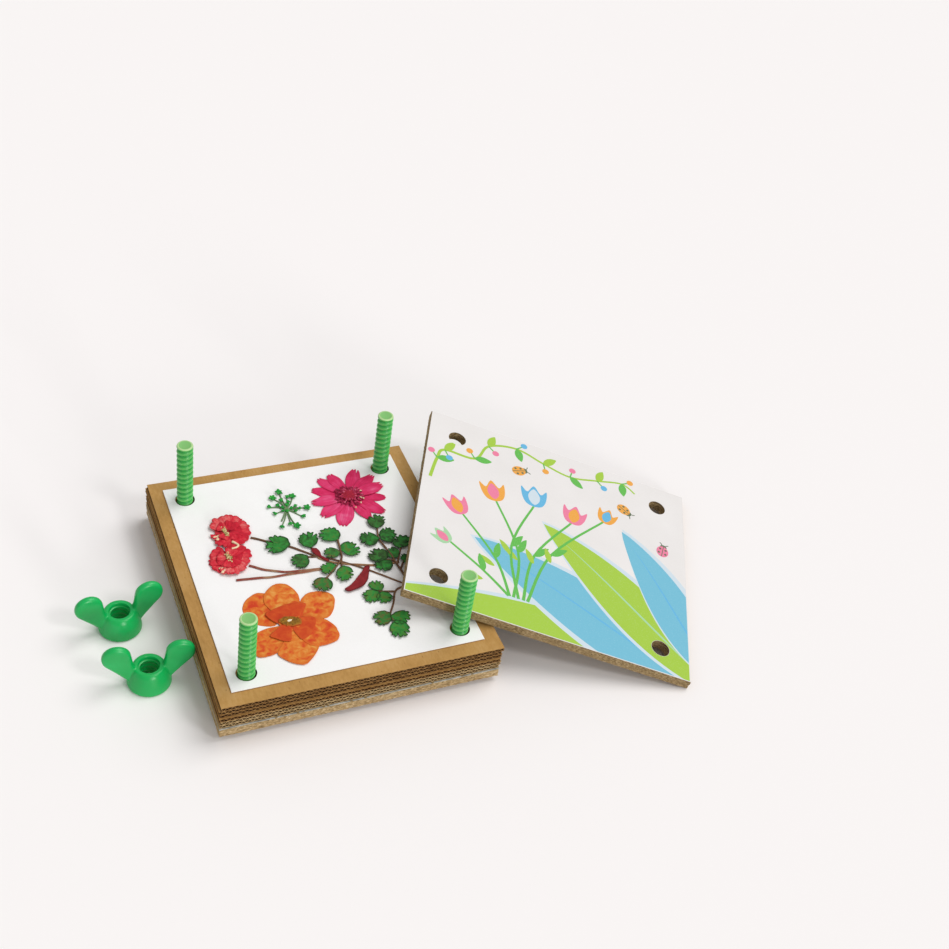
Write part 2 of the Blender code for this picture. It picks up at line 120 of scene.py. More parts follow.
BOLT_PLACES = [middle(f"bolt_{name}").xy for name in CORNERS]
BOARD_LOW, BOARD_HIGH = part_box("base_board")
HALF_WIDTH, HALF_DEPTH = BOARD_HIGH.xy
TABLE_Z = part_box("bolt_front_left")[0].z
BOLT_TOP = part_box("bolt_front_left")[1].z
PAPER_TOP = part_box("blotting_sheet")[1].z


# Shader helpers
def linear(code):
    """Turn an sRGB hex colour into linear red, green and blue."""
    parts = [int(code[i:i + 2], 16) / 255 for i in (1, 3, 5)]
    return [part / 12.92 if part <= 0.04045 else ((part + 0.055) / 1.055) ** 2.4 for part in parts]


def add(tree, kind, settings=None, links=None):
    """Add one shader node, with its settings and the sockets that feed its inputs.

    A Map Range node has its old and new limits on inputs 1 to 4. A Mix node mixes numbers from
    inputs 2 and 3, or colours from inputs 6 and 7.
    """
    node = tree.nodes.new(kind)
    for key, value in (settings or {}).items():
        if isinstance(value, str) and value.startswith("#"):
            value = (*linear(value), 1.0)
        if key == "stops":
            colours = node.color_ramp.elements
            for element, (place, code) in zip(colours, (value[0], value[-1])):
                element.position, element.color = place, (*linear(code), 1.0)
            for place, code in value[1:-1]:
                colours.new(place).color = (*linear(code), 1.0)
        elif isinstance(key, str) and hasattr(node, key):
            setattr(node, key, value)
        else:
            node.inputs[key].default_value = value
    for key, socket in (links or {}).items():
        tree.links.new(socket, node.inputs[key])
    return node


def empty_paint(name):
    material = bpy.data.materials.new(name)
    material.use_nodes = True
    material.node_tree.nodes.clear()
    return material, material.node_tree


def coat(tree, settings, links):
    """End a paint with its shader and output."""
    shader = add(tree, "ShaderNodeBsdfPrincipled", settings, links)
    add(tree, "ShaderNodeOutputMaterial", None, {"Surface": shader.outputs[0]})


def per_metre(size):
    """The noise scale that gives features of a size in millimetres."""
    return 1 / (size * MM)


def matt_stock(name, stops, cloud, grain, relief, rough, grain_share=0.5, fleck=None, stretch=(1, 1, 1)):
    """Paper, card or pressed wood: clouds and stretched fibres pick the colour, and fibres stand out.

    cloud, grain and relief are in millimetres; fleck is a colour, a size and a share of the face.
    """
    material, tree = empty_paint(name)
    place = add(tree, "ShaderNodeTexCoord").outputs["Object"]
    laid = add(tree, "ShaderNodeMapping", {"Scale": stretch}, {"Vector": place}).outputs[0]
    clouds = add(tree, "ShaderNodeTexNoise", {"Scale": per_metre(cloud), "Detail": 3.0}, {"Vector": place})
    fibres = add(tree, "ShaderNodeTexNoise", {"Scale": per_metre(grain), "Detail": 5.0, "Roughness": 0.65},
                 {"Vector": laid})
    blend = add(tree, "ShaderNodeMix", {0: grain_share}, {2: clouds.outputs[0], 3: fibres.outputs[0]})
    colour = add(tree, "ShaderNodeValToRGB", {"stops": stops}, {0: blend.outputs[0]}).outputs[0]
    if fleck:
        code, size, share = fleck
        specks = add(tree, "ShaderNodeTexVoronoi", {"Scale": per_metre(size)}, {"Vector": laid})
        mask = add(tree, "ShaderNodeMapRange", {1: share, 2: share * 0.6, 3: 0.0, 4: 1.0},
                   {0: specks.outputs[0]})
        colour = add(tree, "ShaderNodeMix", {"data_type": "RGBA", 7: code},
                     {0: mask.outputs[0], 6: colour}).outputs[2]
    bump = add(tree, "ShaderNodeBump", {"Distance": relief * MM}, {"Height": fibres.outputs[0]})
    coat(tree, {"Roughness": rough, "Specular IOR Level": 0.25},
         {"Base Color": colour, "Normal": bump.outputs[0]})
    return material


def moulded_plastic(name, deep, light, rough, crest=None):
    """Injection-moulded polypropylene: waxy, half gloss, a little light in it and a faint orange peel.

    crest is a paler colour laid on thin ridges by their crest attribute: a painted highlight.
    """
    material, tree = empty_paint(name)
    place = add(tree, "ShaderNodeTexCoord").outputs["Object"]
    flow = add(tree, "ShaderNodeTexNoise", {"Scale": per_metre(9), "Detail": 2.0}, {"Vector": place})
    colour = add(tree, "ShaderNodeValToRGB", {"stops": ((0.3, deep), (0.7, light))},
                 {0: flow.outputs[0]}).outputs[0]
    if crest:
        ridge = add(tree, "ShaderNodeAttribute", {"attribute_name": "crest"}).outputs["Fac"]
        colour = add(tree, "ShaderNodeMix", {"data_type": "RGBA", 7: crest},
                     {0: ridge, 6: colour}).outputs[2]
    peel = add(tree, "ShaderNodeTexNoise", {"Scale": per_metre(0.6), "Detail": 2.0}, {"Vector": place})
    gloss = add(tree, "ShaderNodeMapRange", {1: 0.3, 2: 0.7, 3: rough - 0.05, 4: rough + 0.06},
                {0: peel.outputs[0]})
    bump = add(tree, "ShaderNodeBump", {"Strength": 0.4, "Distance": 0.02 * MM},
               {"Height": peel.outputs[0]})
    coat(tree, {"IOR": 1.49, "Subsurface Weight": 0.15, "Subsurface Scale": 1.2 * MM,
                "Subsurface Radius": (0.3, 1.0, 0.4)},
         {"Base Color": colour, "Roughness": gloss.outputs[0], "Normal": bump.outputs[0]})
    return material


def printed_ink(name, code):
    """Offset ink on coated paper: an even, half-matt colour in which the paper's tooth shows faintly."""
    material, tree = empty_paint(name)
    place = add(tree, "ShaderNodeTexCoord").outputs["Object"]
    tooth = add(tree, "ShaderNodeTexNoise", {"Scale": per_metre(0.5), "Detail": 2.0}, {"Vector": place})
    pale = add(tree, "ShaderNodeMapRange", {1: 0.55, 2: 0.8, 3: 0.0, 4: 0.12}, {0: tooth.outputs[0]})
    colour = add(tree, "ShaderNodeMix", {"data_type": "RGBA", 6: code, 7: "#FFFFFF"}, {0: pale.outputs[0]})
    bump = add(tree, "ShaderNodeBump", {"Strength": 0.3, "Distance": 0.01 * MM},
               {"Height": tooth.outputs[0]})
    coat(tree, {"Roughness": 0.55, "Specular IOR Level": 0.35},
         {"Base Color": colour.outputs[2], "Normal": bump.outputs[0]})
    return material


def dried_petal(name, stops, rim, base, streaks, cloud, relief, cloud_share=0.5):
    """A pressed petal or leaf: papery, clouded, and streaked along its length.

    rim and base are its colours at its edge and foot, streaks counts the lines across it, and
    cloud and relief are in millimetres. Each petal's own "tone" makes it paler or deeper.
    """
    material, tree = empty_paint(name)
    place = add(tree, "ShaderNodeTexCoord")
    along = add(tree, "ShaderNodeMapping", {"Scale": (2.0, streaks, 1.0)}, {"Vector": place.outputs["UV"]})
    lines = add(tree, "ShaderNodeTexNoise", {"Scale": 1.0, "Detail": 3.0, "Roughness": 0.6},
                {"Vector": along.outputs[0]})
    clouds = add(tree, "ShaderNodeTexNoise", {"Scale": per_metre(cloud), "Detail": 4.0, "Distortion": 0.6},
                 {"Vector": place.outputs["Object"]})
    both = add(tree, "ShaderNodeMix", {0: cloud_share}, {2: lines.outputs[0], 3: clouds.outputs[0]})
    tone = add(tree, "ShaderNodeAttribute", {"attribute_name": "tone"}).outputs["Fac"]
    shade = add(tree, "ShaderNodeMath", {"operation": "ADD"}, {0: both.outputs[0], 1: tone})
    colour = add(tree, "ShaderNodeValToRGB", {"stops": stops}, {0: shade.outputs[0]}).outputs[0]
    edge = add(tree, "ShaderNodeAttribute", {"attribute_name": "rim"}).outputs["Fac"]
    edge = add(tree, "ShaderNodeMapRange", {1: 0.80, 2: 1.0, 3: 0.0, 4: 0.85}, {0: edge}).outputs[0]
    colour = add(tree, "ShaderNodeMix", {"data_type": "RGBA", 7: rim}, {0: edge, 6: colour}).outputs[2]
    if base:
        reach = add(tree, "ShaderNodeSeparateXYZ", None, {0: place.outputs["UV"]}).outputs[0]
        near = add(tree, "ShaderNodeMapRange", {1: 0.30, 2: 0.05, 3: 0.0, 4: 0.8}, {0: reach}).outputs[0]
        colour = add(tree, "ShaderNodeMix", {"data_type": "RGBA", 7: base}, {0: near, 6: colour}).outputs[2]
    bump = add(tree, "ShaderNodeBump", {"Distance": relief * MM}, {"Height": both.outputs[0]})
    coat(tree, {"Roughness": 0.75, "Specular IOR Level": 0.3},
         {"Base Color": colour, "Normal": bump.outputs[0]})
    return material


# Paints of the press
# Pressed wood: tan fibre with grey and dark chips, matt, lying in level layers.
pressed_wood = matt_stock(
    "pressed_wood", ((0.34, "#75603F"), (0.46, "#A3875C"), (0.56, "#BFA378"), (0.68, "#DCCBA6")),
    7, 1.3, 0.2, 0.9, 0.85, ("#54422C", 1.4, 0.22), (1, 1, 2.2))
# The cover is the same board painted darker, as painted shade on its edges.
shaded_cover_wood = matt_stock(
    "pressed_wood_with_painted_shade", ((0.34, "#5C4A31"), (0.46, "#89724D"), (0.56, "#A68D65"), (0.68, "#C8B590")),
    7, 1.3, 0.2, 0.9, 0.85, ("#453520", 1.4, 0.24), (1, 1, 2.2))

# Papers; their fibres are about 0.05 mm thick and are drawn 0.5 to 0.8 mm thick, so that they show.
# Kraft liner: brown paper with a soft sheen along its fibres and small dark specks.
kraft_liner = matt_stock(
    "kraft_liner", ((0.30, "#A4793F"), (0.5, "#B98D50"), (0.72, "#C79F66")),
    16, 0.8, 0.03, 0.8, 0.45, ("#8A6234", 1.6, 0.10), (1, 0.3, 1))
# The lowest cards are faced with a lighter kraft that has more specks.
pale_liner = matt_stock(
    "pale_kraft_liner", ((0.30, "#A98A5C"), (0.5, "#BFA274"), (0.72, "#CDB48A")),
    14, 0.8, 0.03, 0.85, 0.5, ("#8C4A34", 1.4, 0.13), (1, 0.3, 1))
# Inside a card: thin recycled paper, rougher than the liners and painted much darker as painted shade, so
# that flutes look like dark holes.
shaded_fluting_paper = matt_stock(
    "shaded_fluting_paper", ((0.30, "#3A2412"), (0.5, "#543720"), (0.7, "#6E4C2C")), 5, 0.6, 0.04, 0.9, 0.7)
shaded_pale_fluting = matt_stock(
    "shaded_pale_fluting_paper", ((0.30, "#5E4629"), (0.5, "#7A5F3A"), (0.7, "#947850")), 5, 0.6, 0.04, 0.9, 0.7)
# Cut edges of the papers: torn fibres, mottled light and dark. The kraft edge is painted darker as a whole,
# as painted shade on the sides of the stack.
shaded_kraft_edge = matt_stock(
    "kraft_cut_edge_with_painted_shade", ((0.32, "#62421F"), (0.5, "#8F6838"), (0.68, "#C09A64")), 6, 0.7, 0.06, 0.95, 0.75)
pale_edge = matt_stock(
    "pale_cut_edge", ((0.30, "#9C7C50"), (0.5, "#B7996B"), (0.72, "#D6BF95")), 6, 0.7, 0.06, 0.95, 0.75)
# Grey liner: recycled paper, dull and mottled, with brown flecks.
grey_liner = matt_stock(
    "grey_liner_paper", ((0.34, "#88867C"), (0.5, "#AAA99F"), (0.68, "#C6C5BD")),
    2.5, 0.7, 0.02, 0.9, 0.3, ("#8E7B58", 2.4, 0.34))
# Blotting paper: thick, soft and unsized, so it is white and quite matt with a fine felt.
blotting_felt = matt_stock(
    "blotting_paper", ((0.25, "#F3F1EF"), (0.55, "#F9F7F6"), (0.8, "#FCFBFA")), 22, 0.5, 0.02, 0.95)
# Label paper on the cover: coated on one side, smoother and a little grey.
label_paper = matt_stock(
    "label_paper", ((0.25, "#DEDAD7"), (0.55, "#E5E1DF"), (0.8, "#EAE7E4")), 25, 0.5, 0.008, 0.55)

# The nuts' plastic is an even emerald with soft, broad highlights.
nut_green = moulded_plastic("moulded_green_nut", "#04AA50", "#12B55C", 0.33)
# The bolts' plastic is a yellower green, painted paler on the crests of the thread as a painted highlight.
bolt_green_with_painted_highlight = moulded_plastic("moulded_green_bolt_with_painted_highlight", "#1B9C3C", "#30A84A", 0.33, "#62BE5E")
# The bolt's flat end is duller than its moulded skin; its paler colour and brighter rim are painted
# highlight where light falls on the top.
bolt_end_with_painted_highlight = moulded_plastic("green_end_with_painted_highlight", "#76B864", "#88C474", 0.6)
bolt_rim_with_painted_highlight = moulded_plastic("green_rim_with_painted_highlight", "#A9D088", "#BBDA9C", 0.45)

# Pressed flowers: dried petals keep their colour, with paler pleats and bruises.
# Pink petals: deep magenta that fades to rose along the pleats.
pink_petal = dried_petal(
    "dried_pink_petal", ((0.30, "#C8164E"), (0.46, "#DC2862"), (0.60, "#E24378"), (0.76, "#EA7A9E")),
    "#CF1D55", "#BE1A4C", 9, 5, 0.06)
# Florets round the pink flower's disc: wine red with pale rose tips.
pink_heart = dried_petal(
    "dried_pink_florets", ((0.25, "#7E1436"), (0.45, "#AE2048"), (0.60, "#CC4068"), (0.78, "#EBA3B4")),
    "#A01C42", None, 4, 1.1, 0.1)
# The disc itself: beaded and crimson.
pink_disc = dried_petal(
    "dried_crimson_disc", ((0.3, "#96162F"), (0.55, "#B3203C"), (0.8, "#D23A46")),
    "#C92A3A", None, 4, 1.2, 0.1)
# Orange petals: thin and blotched, burnt orange with amber where light comes through.
orange_petal = dried_petal(
    "dried_orange_petal", ((0.32, "#CC3A16"), (0.43, "#D6591C"), (0.54, "#DC7A28"), (0.70, "#E6A04C")),
    "#DA7026", None, 3, 3.2, 0.05, 0.85)
# The crown over them: a deeper, more even orange.
orange_star = dried_petal(
    "dried_orange_crown", ((0.3, "#C0380F"), (0.5, "#CB4714"), (0.75, "#D6601E")),
    "#CC4E18", None, 3, 3.0, 0.05, 0.8)
# The eye: olive brown, grainy, with a rust edge.
orange_eye = dried_petal(
    "dried_olive_eye", ((0.3, "#6E4A12"), (0.5, "#8E6416"), (0.62, "#A5731C"), (0.8, "#B85A20")),
    "#BE5418", None, 3, 1.4, 0.08, 0.8)
# Red petals: crinkled crimson with salmon where the folds are rubbed.
red_petal = dried_petal(
    "dried_red_petal", ((0.28, "#B40824"), (0.43, "#CE1832"), (0.56, "#DC4148"), (0.74, "#EC8580")),
    "#C51A30", "#A50B26", 6, 2.2, 0.14)
# Torn scraps: cream with a pinkish edge.
cream_petal = dried_petal(
    "dried_cream_scrap", ((0.3, "#E3B98F"), (0.55, "#EFD9B5"), (0.8, "#F5E8CF")),
    "#E4A48C", None, 3, 1.5, 0.06)
# Stamens: straw yellow threads and heads.
stamen_cream = dried_petal(
    "dried_stamens", ((0.3, "#8F7A3E"), (0.5, "#C4B176"), (0.75, "#E4D8A6")),
    "#B7A566", None, 3, 0.9, 0.05)
# Leaves: mottled green that turns olive, with a thin dark edge; some have browned more than others.
green_leaf = dried_petal(
    "dried_green_leaf", ((0.30, "#1F4A1C"), (0.42, "#2C6A26"), (0.54, "#2A8834"), (0.72, "#56742A")),
    "#16290F", None, 7, 2.2, 0.10, 0.75)
olive_leaf = dried_petal(
    "dried_olive_leaf", ((0.30, "#27431A"), (0.43, "#356328"), (0.56, "#2E7A30"), (0.70, "#665A2C")),
    "#1B2A12", None, 7, 2.2, 0.10, 0.75)
# Dark leaves: oxblood, nearly even.
dark_red = dried_petal(
    "dried_dark_red_leaf", ((0.3, "#6C1018"), (0.5, "#85191F"), (0.75, "#97292A")),
    "#5A0D14", None, 5, 3.0, 0.08)
# Stems: woody, streaked lengthwise; brown on the sprigs, reddish on the flowers, tan on the broad one.
stem_brown = dried_petal(
    "dried_brown_stem", ((0.3, "#4A3022"), (0.5, "#6B4A33"), (0.75, "#8E7052")),
    "#4A2A1A", None, 5, 2.5, 0.05)
stem_red = dried_petal(
    "dried_red_stem", ((0.36, "#86302C"), (0.5, "#96684E"), (0.64, "#AC9470")),
    "#6A3028", "#84282A", 5, 3.5, 0.05)
stem_tan = dried_petal(
    "dried_tan_stem", ((0.3, "#7A5236"), (0.5, "#96704E"), (0.75, "#AC8A66")),
    "#7A4A34", None, 5, 3.5, 0.05)
# The umbel: bright green florets on paler, greyer rays.
umbel_green = dried_petal(
    "dried_umbel_florets", ((0.3, "#0E7A2A"), (0.5, "#1E9A36"), (0.75, "#4AB040")),
    "#1A6A2A", None, 4, 1.0, 0.05)
umbel_stalk = dried_petal(
    "dried_umbel_stalk", ((0.3, "#4E6E46"), (0.5, "#6A8A5C"), (0.75, "#93A47C")),
    "#5E7F56", None, 4, 2.0, 0.03)


# Mesh helpers
def linked(name, data):
    """Put a new object into the scene."""
    thing = bpy.data.objects.new(name, data)
    bpy.context.scene.collection.objects.link(thing)
    return thing


def worked(mesh, *steps):
    """Return a mesh after some modifiers, each a kind and its settings."""
    guide = linked("guide", mesh)
    for kind, settings in steps:
        modifier = guide.modifiers.new(kind.lower(), kind)
        for key, value in settings.items():
            setattr(modifier, key, value)
    graph = bpy.context.evaluated_depsgraph_get()
    result = bpy.data.meshes.new_from_object(guide.evaluated_get(graph))
    bpy.data.objects.remove(guide)
    return result


def cut_out(mesh, cutter):
    """Return a mesh without what a cutter object takes away."""
    return worked(mesh, ("BOOLEAN", {"operation": "DIFFERENCE", "object": cutter, "solver": "EXACT"}))


def smoothed(mesh, sharp):
    """Shade a mesh smooth, with a crease where faces meet at more than an angle in degrees."""
    mesh.shade_smooth()
    mesh.set_sharp_from_angle(angle=math.radians(sharp))
    return mesh


def as_mesh(shape, name, sharp=35, closed=True):
    """Turn a bmesh into a smooth mesh; the faces of a closed one are turned outwards."""
    if closed:
        bmesh.ops.recalc_face_normals(shape, faces=shape.faces)
    mesh = bpy.data.meshes.new(name)
    shape.to_mesh(mesh)
    shape.free()
    return smoothed(mesh, sharp)


def painted(mesh, paints):
    """Give a mesh its paints, in the order of its faces' slots."""
    for paint in paints:
        mesh.materials.append(paint)
    return mesh


def finished(name, mesh, paints, body, slot, *stands_for, place=None):
    """Make one piece: its paints, the body it rides on and the nodes that it stands for. Its slot is not
    used.
    """
    piece = linked(name, painted(mesh, paints))
    if place:
        piece.matrix_world = place
    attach(piece, body)
    if stands_for:
        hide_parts(*stands_for)


def ripple(x, y, size, seed=0.0):
    """A soft wave from -1 to 1 whose features have a size in the same unit as x and y."""
    return noise.noise(Vector((x / size, y / size, seed * 7.3 + 0.5)))


def offset(place, along, turn, across=0.0):
    """The point so far along a direction from a place, and so far to its left."""
    cos, sin = math.cos(turn), math.sin(turn)
    return place[0] + along * cos - across * sin, place[1] + along * sin + across * cos


def ring(x, y, radius, sides=HOLE_SIDES):
    return [offset((x, y), radius, TAU * i / sides) for i in range(sides)]


def rectangle_points(half_x, half_y, step):
    """Points round a rectangle, to the left, no further apart than about one step."""
    corners = [(-half_x, -half_y), (half_x, -half_y), (half_x, half_y), (-half_x, half_y)]
    points = []
    for (x0, y0), (x1, y1) in zip(corners, corners[1:] + corners[:1]):
        count = round(math.dist((x0, y0), (x1, y1)) / step)
        points += [(x0 + (x1 - x0) * i / count, y0 + (y1 - y0) * i / count) for i in range(count)]
    return points


def smooth_path(points, steps, closed=False):
    """A curve through the points, with some steps between each two."""
    places = [Vector(point) for point in points]
    before, after = (places[-1:], places[:2]) if closed else (places[:1], places[-1:])
    padded = before + places + after
    result = []
    for a, b, c, d in zip(padded, padded[1:], padded[2:], padded[3:]):
        for k in range(steps):
            t = k / steps
            result.append(0.5 * (2 * b + (c - a) * t + (2 * a - 5 * b + 4 * c - d) * t ** 2
                                 + (3 * b - a - 3 * c + d) * t ** 3))
    return result if closed else result + places[-1:]


def bridge(shape, low, high, paint=0):
    """Join two closed rings of points with faces."""
    for corners in zip(low, low[1:] + low[:1], high[1:] + high[:1], high):
        shape.faces.new(corners).material_index = paint


def cap(shape, rings):
    """Fill the flat face between an outer ring and the rings of its holes."""
    edges = [shape.edges.get(pair) for loop in rings for pair in zip(loop, loop[1:] + loop[:1])]
    bmesh.ops.triangle_fill(shape, use_beauty=True, edges=edges)


def add_slab(shape, half_x, half_y, levels, holes, wear, centre=(0.0, 0.0), edge_paint=0, seed=0.0):
    """Add a plate with worn edges and round holes; levels are (height, inset) from the bottom up."""
    walls = []
    for height, inset in levels:
        wall = []
        for x, y in rectangle_points(half_x, half_y, EDGE_STEP):
            grind = noise.noise(Vector((x, y, height)) / (1.3 * MM) + Vector((seed, seed, seed)))
            less = inset + wear * min(1.0, max(0.0, 0.4 + 0.7 * grind))
            wall.append(shape.verts.new((centre[0] + max(less - half_x, min(half_x - less, x)),
                                         centre[1] + max(less - half_y, min(half_y - less, y)), height)))
        walls.append(wall)
    for low, high in zip(walls, walls[1:]):
        bridge(shape, low, high, edge_paint)
    bores = []
    for x, y in holes:
        bore = [[shape.verts.new((*point, height)) for point in ring(x, y, HOLE_RADIUS)]
                for height in (levels[0][0], levels[-1][0])]
        bridge(shape, bore[1], bore[0], edge_paint)
        bores.append(bore)
    cap(shape, [walls[0]] + [bore[0] for bore in bores])
    cap(shape, [walls[-1]] + [bore[1] for bore in bores])


def plate_frame(node):
    """The place of a tilted plate, with +X down its slope and +Z out of its face, and its extents."""
    mesh = nodes[node].data
    face = max((f for f in mesh.polygons if f.normal.z > 0.5), key=lambda f: f.area)
    normal = face.normal.normalized()
    across = Vector((-normal.y, normal.x, 0.0)).normalized()
    axes = (across.cross(normal), across, normal)
    spans = [sorted(vertex.co.dot(axis) for vertex in mesh.vertices) for axis in axes]
    middles = [(span[0] + span[-1]) / 2 for span in spans[:2]] + [spans[2][0]]
    origin = sum((axis * value for axis, value in zip(axes, middles)), Vector())
    place = Matrix.Translation(origin) @ Matrix(axes).transposed().to_4x4()
    return place, [span[-1] - span[0] for span in spans]


# Boards, sheets and cards
def board_levels(low, high):
    """A board's edge from the bottom up: straight layers between two rounded rims."""
    straight = high - low - 2 * BOARD_EDGE_ROUND
    inner = [(low + BOARD_EDGE_ROUND + straight * i / BOARD_LAYERS, 0.0) for i in range(BOARD_LAYERS + 1)]
    return [(low, BOARD_EDGE_ROUND), *inner, (high, BOARD_EDGE_ROUND)]


def sheet_levels(low, thick, edge_round):
    """A sheet's edge from the bottom up, fullest in its middle."""
    return [(low, edge_round), (low + thick / 2, 0.0), (low + thick, edge_round)]


def make_boards():
    shape = bmesh.new()
    add_slab(shape, HALF_WIDTH, HALF_DEPTH, board_levels(BOARD_LOW.z, BOARD_HIGH.z), BOLT_PLACES,
             BOARD_EDGE_WEAR)
    finished("pressed_wood_base", as_mesh(shape, "pressed_wood_base"), [pressed_wood], "base",
             "particle_board", "base_board")
    place, (length, width, thick) = plate_frame("cover_board")
    holes = [(place.inverted() @ hole)[:2] for hole in cover_holes(place, length, width)]
    shape = bmesh.new()
    add_slab(shape, length / 2, width / 2, board_levels(0.0, thick), holes, BOARD_EDGE_WEAR, seed=3.0)
    finished("pressed_wood_cover", as_mesh(shape, "pressed_wood_cover"), [shaded_cover_wood], "cover",
             "particle_board", "cover_board", place=place)


def cover_holes(place, length, width):
    """The cover has the base board's holes, with its depth down the slope."""
    away_x = length / 2 - (HALF_DEPTH - BOLT_PLACES[3].y)
    away_y = width / 2 - (HALF_WIDTH - BOLT_PLACES[3].x)
    sides = ((-1, -1), (-1, 1), (1, -1), (1, 1))
    return [place @ Vector((side_x * away_x, side_y * away_y, 0.0)) for side_x, side_y in sides]


def add_medium(shape, centre, low, high, seed):
    """Add the fluted paper of a card; its flutes run from front to back and end at the bolt holes."""
    pitch = FLUTE_PITCH * (1 + 0.03 * math.sin(seed * 5))
    rows = sorted({round(place.y, 6) for place in BOLT_PLACES})
    columns = max(place.x for place in BOLT_PLACES)
    height, swing = (low + high) / 2, (high - low - CARD_MEDIUM_THICK) / 2
    count = round(2 * HALF_WIDTH / pitch) * FLUTE_STEPS
    lines = []
    for i in range(count + 1):
        x = (2 * i / count - 1) * (HALF_WIDTH - 2 * SHEET_EDGE_WEAR)
        wave = math.sin(TAU * (x / pitch + seed * 0.37))
        z = height + swing * math.copysign(abs(wave) ** 0.8, wave)
        half = math.sqrt(max(0.0, HOLE_RADIUS ** 2 - (abs(x) - columns) ** 2))
        worn = SHEET_EDGE_WEAR + SHEET_EDGE_WEAR * noise.noise(Vector((x / (3 * MM), seed, 0.0)))
        ends = [-HALF_DEPTH + worn, rows[0] - half, rows[0] + half, rows[1] - half, rows[1] + half,
                HALF_DEPTH - worn]
        lines.append([shape.verts.new((centre[0] + x, centre[1] + y, z)) for y in ends])
    for left, right in zip(lines, lines[1:]):
        for k in (0, 2, 4):
            shape.faces.new((left[k], right[k], right[k + 1], left[k + 1])).material_index = 1
    bmesh.ops.remove_doubles(shape, verts=[v for line in lines for v in line], dist=1e-6)


def make_card(number):
    """Fluted paper between two liners; slots 0 to 2 are the liners, the inside, painted dark as shade in the
    flutes, and the cut edges.
    """
    node = f"corrugated_card_{number}"
    low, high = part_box(node)
    centre = ((low.x + high.x) / 2, (low.y + high.y) / 2)
    holes = [(centre[0] + x, centre[1] + y) for x, y in BOLT_PLACES]
    inside = (low.z + CARD_LINER_THICK, high.z - CARD_LINER_THICK)
    papers = [kraft_liner, shaded_fluting_paper, shaded_kraft_edge]
    if number <= PALE_CARDS:
        papers = [pale_liner, shaded_pale_fluting, pale_edge]
    shape = bmesh.new()
    add_medium(shape, centre, *inside, number)
    flutes = worked(painted(as_mesh(shape, "flutes", closed=False), papers),
                    ("SOLIDIFY", {"thickness": CARD_MEDIUM_THICK, "offset": 0.0, "material_offset_rim": 1}))
    shape = bmesh.new()
    shape.from_mesh(flutes)
    for bottom in (low.z, inside[1]):
        levels = sheet_levels(bottom, CARD_LINER_THICK, CARD_EDGE_ROUND)
        add_slab(shape, HALF_WIDTH, HALF_DEPTH, levels, holes, SHEET_EDGE_WEAR, centre, 2, number * 1.7)
    # Liner faces that look into the flutes take the dark inside paint too: painted shade in the flutes.
    for face in shape.faces:
        away = min(abs(face.calc_center_median().z - height) for height in inside)
        if face.material_index == 0 and away < 0.00001:
            face.material_index = 1
    finished(f"fluted_card_{number}", as_mesh(shape, node), papers, f"card_{number}", "kraft_card", node)


def make_blotter():
    """The blotting sheet, and the grey paper of the liner, whose shape is the frame's own."""
    low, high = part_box("blotting_sheet")
    shape = bmesh.new()
    levels = sheet_levels(low.z, high.z - low.z, SHEET_EDGE_ROUND)
    add_slab(shape, high.x, high.y, levels, BOLT_PLACES, SHEET_EDGE_WEAR / 2, seed=9.0)
    finished("blotting_paper", as_mesh(shape, "blotting_paper"), [blotting_felt], "blotter", "white_paper",
             "blotting_sheet")
    nodes["liner_sheet"].data.materials.clear()
    nodes["liner_sheet"].data.materials.append(grey_liner)


# Bolts and wing nuts
def helix(height, angle):
    """How high a thread stands at a place, from 0 at its root to 1 at its crest."""
    return 0.5 + 0.5 * math.cos(TAU * height / THREAD_PITCH - angle)


def add_turned(shape, rows, sides):
    """Add a closed body round Z from (height, radius) rows; a radius may be a function of the angle."""
    turns = [TAU * k / sides for k in range(sides)]
    rings = []
    for height, radius in rows:
        radii = [radius(turn) if callable(radius) else radius for turn in turns]
        rings.append([shape.verts.new((r * math.cos(turn), r * math.sin(turn), height))
                      for r, turn in zip(radii, turns)])
    for low, high in zip(rings, rings[1:]):
        bridge(shape, low, high)
    shape.faces.new(rings[0])
    shape.faces.new(rings[-1])


def bolt_thread(height, start, stop):
    """The radius of round crests that rise out of the shaft and end in a plain collar."""
    fade = min(1.0, (height - start) / THREAD_PITCH)
    collar = min(1.0, max(0.0, (height - stop) / BOLT_COLLAR + 1))
    deep = BOLT_CREST - BOLT_ROOT
    return lambda angle: BOLT_ROOT + deep * max((helix(height, angle) ** 0.55) * fade, 0.95 * collar)


